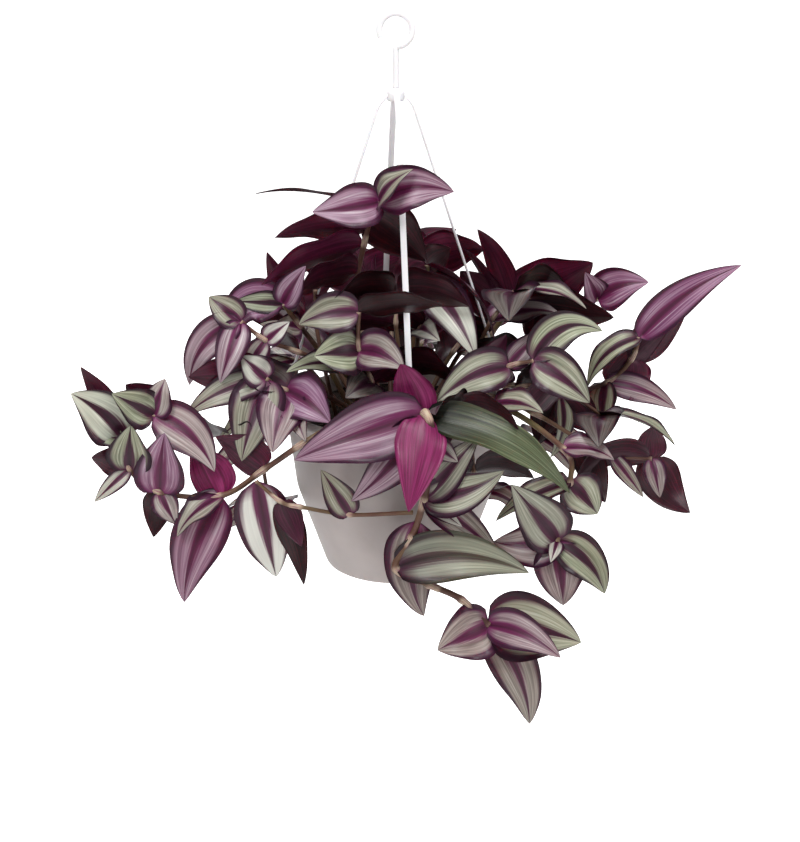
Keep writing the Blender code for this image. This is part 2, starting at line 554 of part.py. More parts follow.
def box_of(points):
    """The lowest and highest corners round the points."""
    return np.vstack([points.min(axis=0), points.max(axis=0)])


class Taken:
    """The room already taken, so that each new leaf can look for a clear place."""

    def __init__(self):
        self.items = []

    def put(self, owner, solid):
        self.items.append((owner, box_of(solid[0]), tree_of(solid)))

    def clear(self, owner, solid):
        box = box_of(solid[0])
        tree = None
        for other, room, standing in self.items:
            if other == owner or (box[0] > room[1]).any() or (box[1] < room[0]).any():
                continue
            tree = tree or tree_of(solid)
            if tree.overlap(standing):
                return False
        return True


# A leaf that meets another moves its tip back or forward, up or down, until it is clear.
TIP_MOVES = [(0, 0)] + [(y, z) for y in (0.5, -0.5, 1, -1, 1.5, -1.5, 2.2, -2.2, 3) for z in (0, 0.5, -0.5)]


def spot(route, node):
    """The place on a stem at a node, or part of the way to the next one."""
    i = min(int(node), len(route) - 2)
    return np.array(route[i]) + (node - i) * (np.array(route[i + 1]) - route[i])


def settle(row, node, owner, start, taken):
    """The leaf's row and base once it is clear of everything, or None where there is no room for it."""
    tip = np.array(row["tip"], float)
    for y, z in TIP_MOVES:
        moved = dict(row, tip=tuple(tip + (0, y, z)))
        way = unit(np.array(moved["tip"]) - node)
        base = np.array(node) + start * way
        if taken.clear(owner, blade_solid(base, moved, TEST_THICK)):
            return moved, base
    return None


def place_leaves(shoots, taken):
    """Every leaf's settled row and base by shoot, the named leaves first."""
    placed = {name: [] for name in shoots}
    for named in (True, False):
        for shoot, (radius, route, leaves) in shoots.items():
            for k, row in enumerate(leaves):
                if bool(row["name"]) != named:
                    continue
                owner = row["name"] or shoot
                rooted = (-0.05 - 0.017 * (k % 4), -0.02 - 0.013 * (k % 5))
                starts = (radius + 0.15, radius + 0.35, radius + 0.6) if named else rooted
                for start in starts:
                    found = settle(row, spot(route, row["node"]), owner, start, taken)
                    if found:
                        taken.put(owner, blade_solid(found[1], found[0], BLADE_THICK))
                        placed[shoot].append(found)
                        break
    return placed


def main():
    """Clears the scene, then builds the pot, its hanger and the plant under an empty at the rim's centre."""
    for old in list(bpy.data.objects):
        bpy.data.objects.remove(old, do_unlink=True)
    plastic = material("white_plastic", PLASTIC)
    compost = material("compost", COMPOST)
    stem = material("stem", STEM)
    blades = {tone: material("leaf_" + tone, (hue, LEAF_ROUGHNESS)) for tone, hue in TONES.items()}
    rim = bpy.data.objects.new("rim_centre", None)
    rim.location = (0, 0, -RIM_DROP * CM)
    bpy.context.scene.collection.objects.link(rim)

    solids = {"pot": pot_solid(), "hanger_hub": hub_solid(), "hanger_hook": hook_solid()}
    for k, side in enumerate(("front", "right", "back", "left")):
        solids["hanger_strand_" + side] = strand_solid(-90 + STRAND_TURN + 90 * k)
    taken = Taken()
    for name, solid in solids.items():
        add(name, solid, plastic, rim, smooth=True)
        taken.put(name, solid)
    soil = soil_solid()
    add("soil", soil, compost, rim)
    taken.put("soil", soil)

    shoots = dict(SHOOTS, **inner_shoots(), **far_side_shoots())
    stems = {}
    for name, (radius, route, _) in shoots.items():
        stems[name] = tube_solid(smooth_route(route, STEM_STEPS), radius, STEM_SIDES, STEM_TAPER)
        taken.put(name, stems[name])
    for name, leaves in place_leaves(shoots, taken).items():
        body = add(name, stems[name], stem, rim, smooth=True)
        joined = [blade_solid(base, row, BLADE_THICK) for row, base in leaves if not row["name"]]
        join(body, joined, stem, rim)
        for row, base in leaves:
            if row["name"]:
                blade = blade_solid(base, row, BLADE_THICK)
                add(row["name"], blade, blades[row["tone"]], rim, smooth=True)


main()
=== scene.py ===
import math

import bmesh
import bpy
import numpy as np
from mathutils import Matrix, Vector
from mathutils.bvhtree import BVHTree


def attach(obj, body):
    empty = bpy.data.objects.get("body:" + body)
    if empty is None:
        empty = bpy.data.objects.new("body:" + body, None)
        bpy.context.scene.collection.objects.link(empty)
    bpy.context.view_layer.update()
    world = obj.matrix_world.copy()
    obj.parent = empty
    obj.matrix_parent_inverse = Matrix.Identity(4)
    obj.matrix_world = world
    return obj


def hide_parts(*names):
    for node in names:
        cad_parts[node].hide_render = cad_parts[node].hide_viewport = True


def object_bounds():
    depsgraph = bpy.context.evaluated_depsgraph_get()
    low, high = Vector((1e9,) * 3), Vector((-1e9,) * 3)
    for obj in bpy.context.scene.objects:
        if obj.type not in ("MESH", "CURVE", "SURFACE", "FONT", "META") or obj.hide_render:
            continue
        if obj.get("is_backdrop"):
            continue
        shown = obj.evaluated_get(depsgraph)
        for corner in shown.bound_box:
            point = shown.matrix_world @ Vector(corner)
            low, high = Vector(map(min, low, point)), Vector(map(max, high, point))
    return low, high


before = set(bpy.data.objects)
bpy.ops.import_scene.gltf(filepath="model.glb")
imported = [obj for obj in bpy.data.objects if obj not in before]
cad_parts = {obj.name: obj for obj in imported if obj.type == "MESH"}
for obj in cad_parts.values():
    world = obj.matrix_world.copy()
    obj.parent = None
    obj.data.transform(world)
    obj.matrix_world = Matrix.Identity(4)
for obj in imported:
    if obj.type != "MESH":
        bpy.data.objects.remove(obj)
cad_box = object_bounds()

# Sizes are in centimetres from the rim's centre, which is RIM_DROP under the point that the hook hangs by.
CM = 0.01
RIM_DROP = 24.4

# ---- The pot ---------------------------------------------------------------------------------------------
# A plain round hanging pot, injection moulded in white polypropylene whose pinkish grey colour here is
# painted
# shade: a straight upper wall that draws in towards a small flat base, with a plain lip that the hanger's
# clips hold.

RIM_RADIUS = 7.1
RIM_LIP = 0.3
RIM_DEEP = 0.6
POT_HEIGHT = 11.0
SHOULDER_RADIUS = 6.5
SHOULDER_DEPTH = 5.5
BASE_RADIUS = 4.6
BASE_HOLLOW = 0.06
WALL = 0.2
POT_CORNER = 0.35
POT_SIDES = 144


def rounded(points, radius, steps=5):
    """A polyline with each corner cut back by the radius and bent: (1-t)^2 a + 2t(1-t) corner + t^2 b."""
    p = np.array(points, float)
    t = np.linspace(0, 1, steps)[:, None]
    out = [p[:1]]
    for before, corner, after in zip(p, p[1:], p[2:]):
        first, last = before - corner, after - corner
        a, b = np.linalg.norm(first), np.linalg.norm(last)
        near = corner + first / a * min(radius, 0.45 * a)
        far = corner + last / b * min(radius, 0.45 * b)
        out.append((1 - t) ** 2 * near + 2 * t * (1 - t) * corner + t**2 * far)
    return np.vstack(out + [p[-1:]])


def turned(profile, steps):
    """A (height x angle) grid: each profile point (r, z) at angle a is (r cos a, r sin a, z)."""
    a = 2 * np.pi * np.arange(steps) / steps
    r, z = profile[:, :1], profile[:, 1:]
    return np.stack([r * np.cos(a), r * np.sin(a), z + 0 * a], axis=-1)


def quads(rows, cols, wraps=False):
    """The quads of a grid numbered row by row, joined round the columns when it wraps."""
    i, j = np.meshgrid(np.arange(rows - 1), np.arange(cols if wraps else cols - 1), indexing="ij")
    k = (j + 1) % cols
    corners = [i * cols + j, i * cols + k, (i + 1) * cols + k, (i + 1) * cols + j]
    return np.stack(corners, axis=-1).reshape(-1, 4)


def piece(name, points, faces, material, slot, nodes=(), values=None, uv=None, closed=True):
    """One smooth mesh from points in centimetres from the rim's centre, riding on the plant's one body."""
    mesh = bpy.data.meshes.new(name)
    place = np.asarray(points, float).reshape(-1, 3) * CM - (0, 0, RIM_DROP * CM)
    mesh.from_pydata(place.tolist(), [], [tuple(f) for f in faces])
    for label, value in (values or {}).items():
        mesh.attributes.new(label, "FLOAT", "POINT").data.foreach_set("value", value.astype(np.float32))
    if uv is not None:
        corners = np.empty(len(mesh.loops), np.int32)
        mesh.loops.foreach_get("vertex_index", corners)
        mesh.uv_layers.new(name="along").data.foreach_set("uv", uv[corners].astype(np.float32).ravel())
    if closed:
        work = bmesh.new()
        work.from_mesh(mesh)
        bmesh.ops.remove_doubles(work, verts=work.verts, dist=1e-6)
        bmesh.ops.recalc_face_normals(work, faces=work.faces)
        work.to_mesh(mesh)
        work.free()
    mesh.polygons.foreach_set("use_smooth", np.ones(len(mesh.polygons), bool))
    mesh.materials.append(material)
    made = bpy.data.objects.new(name, mesh)
    bpy.context.scene.collection.objects.link(made)
    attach(made, "root")
    if nodes:
        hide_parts(*nodes)


def linear(hex_colour):
    """An sRGB hex colour as linear light, with full alpha."""
    srgb = np.array([int(hex_colour[i:i + 2], 16) / 255 for i in (0, 2, 4)])
    light = np.where(srgb <= 0.04045, srgb / 12.92, ((srgb + 0.055) / 1.055) ** 2.4)
    return (*light.tolist(), 1.0)


def wire(tree, node, inputs):
    """Gives each of a node's inputs the plain value, or the link from the socket, that it is handed."""
    for key, given in inputs.items():
        if isinstance(given, bpy.types.NodeSocket):
            tree.links.new(given, node.inputs[key])
        else:
            node.inputs[key].default_value = given


def put(tree, kind, inputs=None, stops=(), **settings):
    """One shader node: its inputs, a ramp's (place, hex colour) stops, and settings by attribute or input."""
    node = tree.nodes.new("ShaderNode" + kind)
    for key, value in settings.items():
        if hasattr(node, key):
            setattr(node, key, value)
        else:
            node.inputs[key.replace("_", " ")].default_value = value
    if stops:
        elements = node.color_ramp.elements
        while len(elements) < len(stops):
            elements.new(0.5)
        for element, (place, colour) in zip(elements, stops):
            element.position = place
            element.color = linear(colour)
    wire(tree, node, inputs or {})
    return node


def finish_of(name):
    """A new material: its tree and its principled shader."""
    made = bpy.data.materials.new(name)
    made.use_nodes = True
    return made, made.node_tree, made.node_tree.nodes["Principled BSDF"]


def moulded(name, darker, paler):
    """Moulded polypropylene: softly glossy and slightly clear, with flow clouds about 45 mm across and a
    moulded grain of about 1 mm."""
    made, tree, shader = finish_of(name)
    here = put(tree, "TexCoord").outputs["Object"]
    clouds = put(tree, "TexNoise", {"Vector": here}, Scale=22.0, Detail=4.0).outputs["Fac"]
    grain = put(tree, "TexNoise", {"Vector": here}, Scale=900.0, Detail=2.0).outputs["Fac"]
    colour = put(tree, "ValToRGB", {"Fac": clouds}, [(0.35, darker), (0.65, paler)])
    gloss = put(tree, "MapRange", {"Value": clouds}, To_Min=0.34, To_Max=0.48)
    bump = put(tree, "Bump", {"Height": grain}, Strength=0.06, Distance=0.0004)
    wire(tree, shader, {"Base Color": colour.outputs["Color"], "Roughness": gloss.outputs[0],
                        "Normal": bump.outputs["Normal"], "IOR": 1.49, "Subsurface Weight": 0.08,
                        "Subsurface Scale": 0.003})
    return made


# The pot's white plastic is given a pinkish grey: painted shade, while the hanger's same plastic stays white.
pot_plastic_in_shade = moulded("white_polypropylene_painted_shade", "A69B98", "B5ABA8")

LIP = RIM_RADIUS + RIM_LIP
INNER = RIM_RADIUS - WALL
pot_profile = rounded([
    (0, -POT_HEIGHT + BASE_HOLLOW), (BASE_RADIUS - 0.6, -POT_HEIGHT + BASE_HOLLOW),
    (BASE_RADIUS - 0.5, -POT_HEIGHT), (BASE_RADIUS, -POT_HEIGHT), (SHOULDER_RADIUS, -SHOULDER_DEPTH),
    (RIM_RADIUS, -RIM_DEEP),
    (LIP - 0.08, -RIM_DEEP), (LIP, -RIM_DEEP / 2), (LIP - 0.12, 0), (INNER + 0.12, 0), (INNER, -0.15),
    (SHOULDER_RADIUS - WALL, -SHOULDER_DEPTH), (BASE_RADIUS - WALL, -POT_HEIGHT + WALL),
    (0, -POT_HEIGHT + WALL),
], POT_CORNER)
pot = turned(pot_profile, POT_SIDES)
piece("pot_shell", pot, quads(*pot.shape[:2], wraps=True), pot_plastic_in_shade, "white_plastic", ["pot"])

# ---- The soil --------------------------------------------------------------------------------------------
# Peat and bark compost filling the pot to a centimetre below its lip: a lumpy surface with loose crumbs and
# chips of bark lying on it.

SOIL_DEPTH = 1.0
SOIL_RADIUS = 6.75
SOIL_BOTTOM = -10.7
SOIL_SIDES = 96
CRUMBS = 420

# Damp compost is near black-brown and matt, with paler dry fibres, in lumps of about 4 mm.
compost, tree, shader = finish_of("peat_compost")
here = put(tree, "TexCoord").outputs["Object"]
lumps = put(tree, "TexNoise", {"Vector": here}, Scale=260.0, Detail=6.0, Roughness=0.7).outputs["Fac"]
colour = put(tree, "ValToRGB", {"Fac": lumps}, [(0.3, "140D0A"), (0.55, "2B1D15"), (0.75, "5A4230")])
bump = put(tree, "Bump", {"Height": lumps}, Strength=0.9, Distance=0.002)
wire(tree, shader, {"Base Color": colour.outputs["Color"], "Roughness": 0.95,
                    "Normal": bump.outputs["Normal"]})

rng = np.random.default_rng(7)
angle = np.linspace(0, 2 * np.pi, SOIL_SIDES + 1)[:-1]
radius = np.linspace(0, SOIL_RADIUS, 34)[:, None]
wobble = (0.07 * np.sin(2.3 * radius + 3 * angle) + 0.05 * np.sin(5 * radius - 7 * angle + 1)
          + 0.035 * np.cos(9 * radius + 13 * angle))
height = -SOIL_DEPTH - 0.05 + wobble * np.clip(radius, 0, 1)
top = np.stack([radius * np.cos(angle), radius * np.sin(angle), height], axis=-1)
side = turned(np.array([(SOIL_RADIUS - 0.3, -4.0), (SHOULDER_RADIUS - 0.35, -SHOULDER_DEPTH),
                        (BASE_RADIUS - 0.3, SOIL_BOTTOM), (0, SOIL_BOTTOM)]), SOIL_SIDES)
body = np.vstack([top, side])
piece("soil_fill", body, quads(*body.shape[:2], wraps=True), compost, "compost", ["soil"])


def crumbs(count):
    """Squashed octahedra: six unit points scaled, turned about Z, and set down at random on the disc."""
    unit_points = np.array([(1, 0, 0), (0, 1, 0), (-1, 0, 0), (0, -1, 0), (0, 0, 1), (0, 0, -1)], float)
    unit_faces = np.array([(0, 1, 4), (1, 2, 4), (2, 3, 4), (3, 0, 4),
                           (1, 0, 5), (2, 1, 5), (3, 2, 5), (0, 3, 5)])
    size = rng.uniform(0.05, 0.24, (count, 1, 1)) * rng.uniform(0.5, 1.3, (count, 1, 3)) * (1, 0.7, 0.5)
    turn = rng.uniform(0, 2 * np.pi, (count, 1))
    x, y, z = np.moveaxis(unit_points * size, -1, 0)
    away = (SOIL_RADIUS - 0.4) * np.sqrt(rng.uniform(0, 1, (count, 1)))
    way = rng.uniform(0, 2 * np.pi, (count, 1))
    points = np.stack([x * np.cos(turn) - y * np.sin(turn) + away * np.cos(way),
                       x * np.sin(turn) + y * np.cos(turn) + away * np.sin(way), z - SOIL_DEPTH], axis=-1)
    return points, (unit_faces + 6 * np.arange(count)[:, None, None]).reshape(-1, 3)


piece("soil_crumbs", *crumbs(CRUMBS), compost, "compost")

# ---- The hanger ------------------------------------------------------------------------------------------
# A moulded plastic hanger: a hub with an open hook above it, and four flat strands that run down to clips
# turned in under the pot's lip.

APEX = 19.7
STRAND_WIDE = 0.38
STRAND_THICK = 0.15
STRAND_TURN = 7.5
HUB_RADIUS = 0.55
HUB_HIGH = 0.8
HOOK_ROD = 0.2
HOOK_RADIUS = 1.0
HOOK_START = -90
HOOK_END = 205
CLIP_GAP = 0.03


def unit(v):
    """The vector at a length of one."""
    return v / max(np.linalg.norm(v), 1e-9)


def swept(line, section, level):
    """A (length x section) grid: each section point (a, b) laid off along a level and an upright direction,
    both square to the line."""
    tangent = np.gradient(line, axis=0)
    tangent /= np.linalg.norm(tangent, axis=1)[:, None]
    across = level - (tangent @ level)[:, None] * tangent
    across /= np.linalg.norm(across, axis=1)[:, None]
    upright = np.cross(tangent, across)
    a, b = section[None, :, 0], section[None, :, 1]
    return line[:, None] + a[..., None] * across[:, None] + b[..., None] * upright[:, None]


def closed_ends(grid):
    """The grid with its first and last rings drawn in to their centres."""
    return np.concatenate([grid[:1].mean(axis=1, keepdims=True) + 0 * grid[:1], grid,
                           grid[-1:].mean(axis=1, keepdims=True) + 0 * grid[-1:]])


def oval(wide, thick, count, power=2.0):
    """A superellipse: (cos a, sin a) with each raised to 2/power, so that a high power is squarer."""
    a = 2 * np.pi * np.arange(count) / count
    c, s = np.cos(a), np.sin(a)
    return np.column_stack([wide / 2 * np.sign(c) * np.abs(c) ** (2 / power),
                            thick / 2 * np.sign(s) * np.abs(s) ** (2 / power)])


hanger_plastic = moulded("white_polypropylene", "EFEBEE", "F6F4F6")

OUTSIDE = LIP + STRAND_THICK / 2 + CLIP_GAP
strand_route = rounded([
    (HUB_RADIUS - 0.1, APEX + 0.05), (HUB_RADIUS + 0.5, APEX - 0.6), (LIP - 0.45, 1.4), (OUTSIDE, 0.3),
    (OUTSIDE, -RIM_DEEP + 0.05), (LIP - 0.1, -RIM_DEEP - 0.35),
], 0.4, 6)
for k, side_name in enumerate(("front", "right", "back", "left")):
    a = math.radians(-90 + STRAND_TURN + 90 * k)
    out = np.array([math.cos(a), math.sin(a), 0])
    line = strand_route[:, :1] * out + strand_route[:, 1:] * np.array([0, 0, 1])
    strip = closed_ends(swept(line, oval(STRAND_WIDE, STRAND_THICK, 20, 4), np.array([-out[1], out[0], 0])))
    piece("strand_" + side_name, strip, quads(*strip.shape[:2], wraps=True), hanger_plastic, "white_plastic",
          ["hanger_strand_" + side_name])

FOOT_OF_HUB = APEX - HUB_HIGH / 2
hub = turned(rounded([(0, FOOT_OF_HUB), (HUB_RADIUS - 0.1, FOOT_OF_HUB), (HUB_RADIUS, FOOT_OF_HUB + 0.1),
                      (HUB_RADIUS, FOOT_OF_HUB + HUB_HIGH - 0.2), (HUB_RADIUS - 0.25, FOOT_OF_HUB + HUB_HIGH),
                      (0, FOOT_OF_HUB + HUB_HIGH)], 0.12), 64)
piece("hub_boss", hub, quads(*hub.shape[:2], wraps=True), hanger_plastic, "white_plastic", ["hanger_hub"])

ring_centre = RIM_DROP + HOOK_ROD - HOOK_RADIUS
turn = np.radians(np.linspace(HOOK_START, HOOK_END, 90))[:, None]
ring = HOOK_RADIUS * np.hstack([np.cos(turn), 0 * turn, np.sin(turn)]) + (0, 0, ring_centre)
shank_z = np.linspace(APEX + HUB_HIGH / 2 - 0.05, ring[0, 2] - 0.1, 14)[:, None]
hook_line = np.vstack([shank_z * (0, 0, 1), ring[1:]])
hook = closed_ends(swept(hook_line, oval(2 * HOOK_ROD, 2 * HOOK_ROD, 24), np.array([0, 1.0, 0])))
piece("hook_rod", hook, quads(*hook.shape[:2], wraps=True), hanger_plastic, "white_plastic", ["hanger_hook"])

# ---- The plant -------------------------------------------------------------------------------------------
# Tradescantia shoots rooted in the compost: jointed, fleshy stems with a pale sheath above each node, and
# blades that leave the nodes to either side, with a spray at the end. They are limp, so many hang or turn.

FOOT = -0.95
STEM_SIDES = 5
STEM_STEPS = 2
STEM_TAPER = 0.75
FILLER_STEM = 0.15
FAR_STEM = 0.17
BLADE_THICK = 0.1
BLADE_STATIONS = (0.0, 0.2, 0.6, 1.0)
BLADE_FOLD = 0.18
TEST_THICK = 0.22
BROADER = 1.12

# Which way a blade's upper side faces.
FACING = {
    "front": (0, -1, 0.45),
    "up": (0, -0.35, 0.95),
    "edge": (0, 0.31, 0.95),
    "under": (0, 0.8, 0.6),
    "back": (0, 1, 0.1),
    "left": (-0.8, -0.6, 0.4),
    "right": (0.8, -0.6, 0.4),
}


def leaf(name, node, tip, width, facing="front", arch=0.3, sweep=0.0, tone="lilac"):
    """One leaf: its own name, or "" when it is joined to its stem; the stem node it grows from; its tip."""
    if isinstance(facing, str):
        facing = FACING[facing]
    return dict(name=name, node=node, tip=tip, width=BROADER * width, faces=facing, arch=arch, sweep=sweep,
                tone=tone)


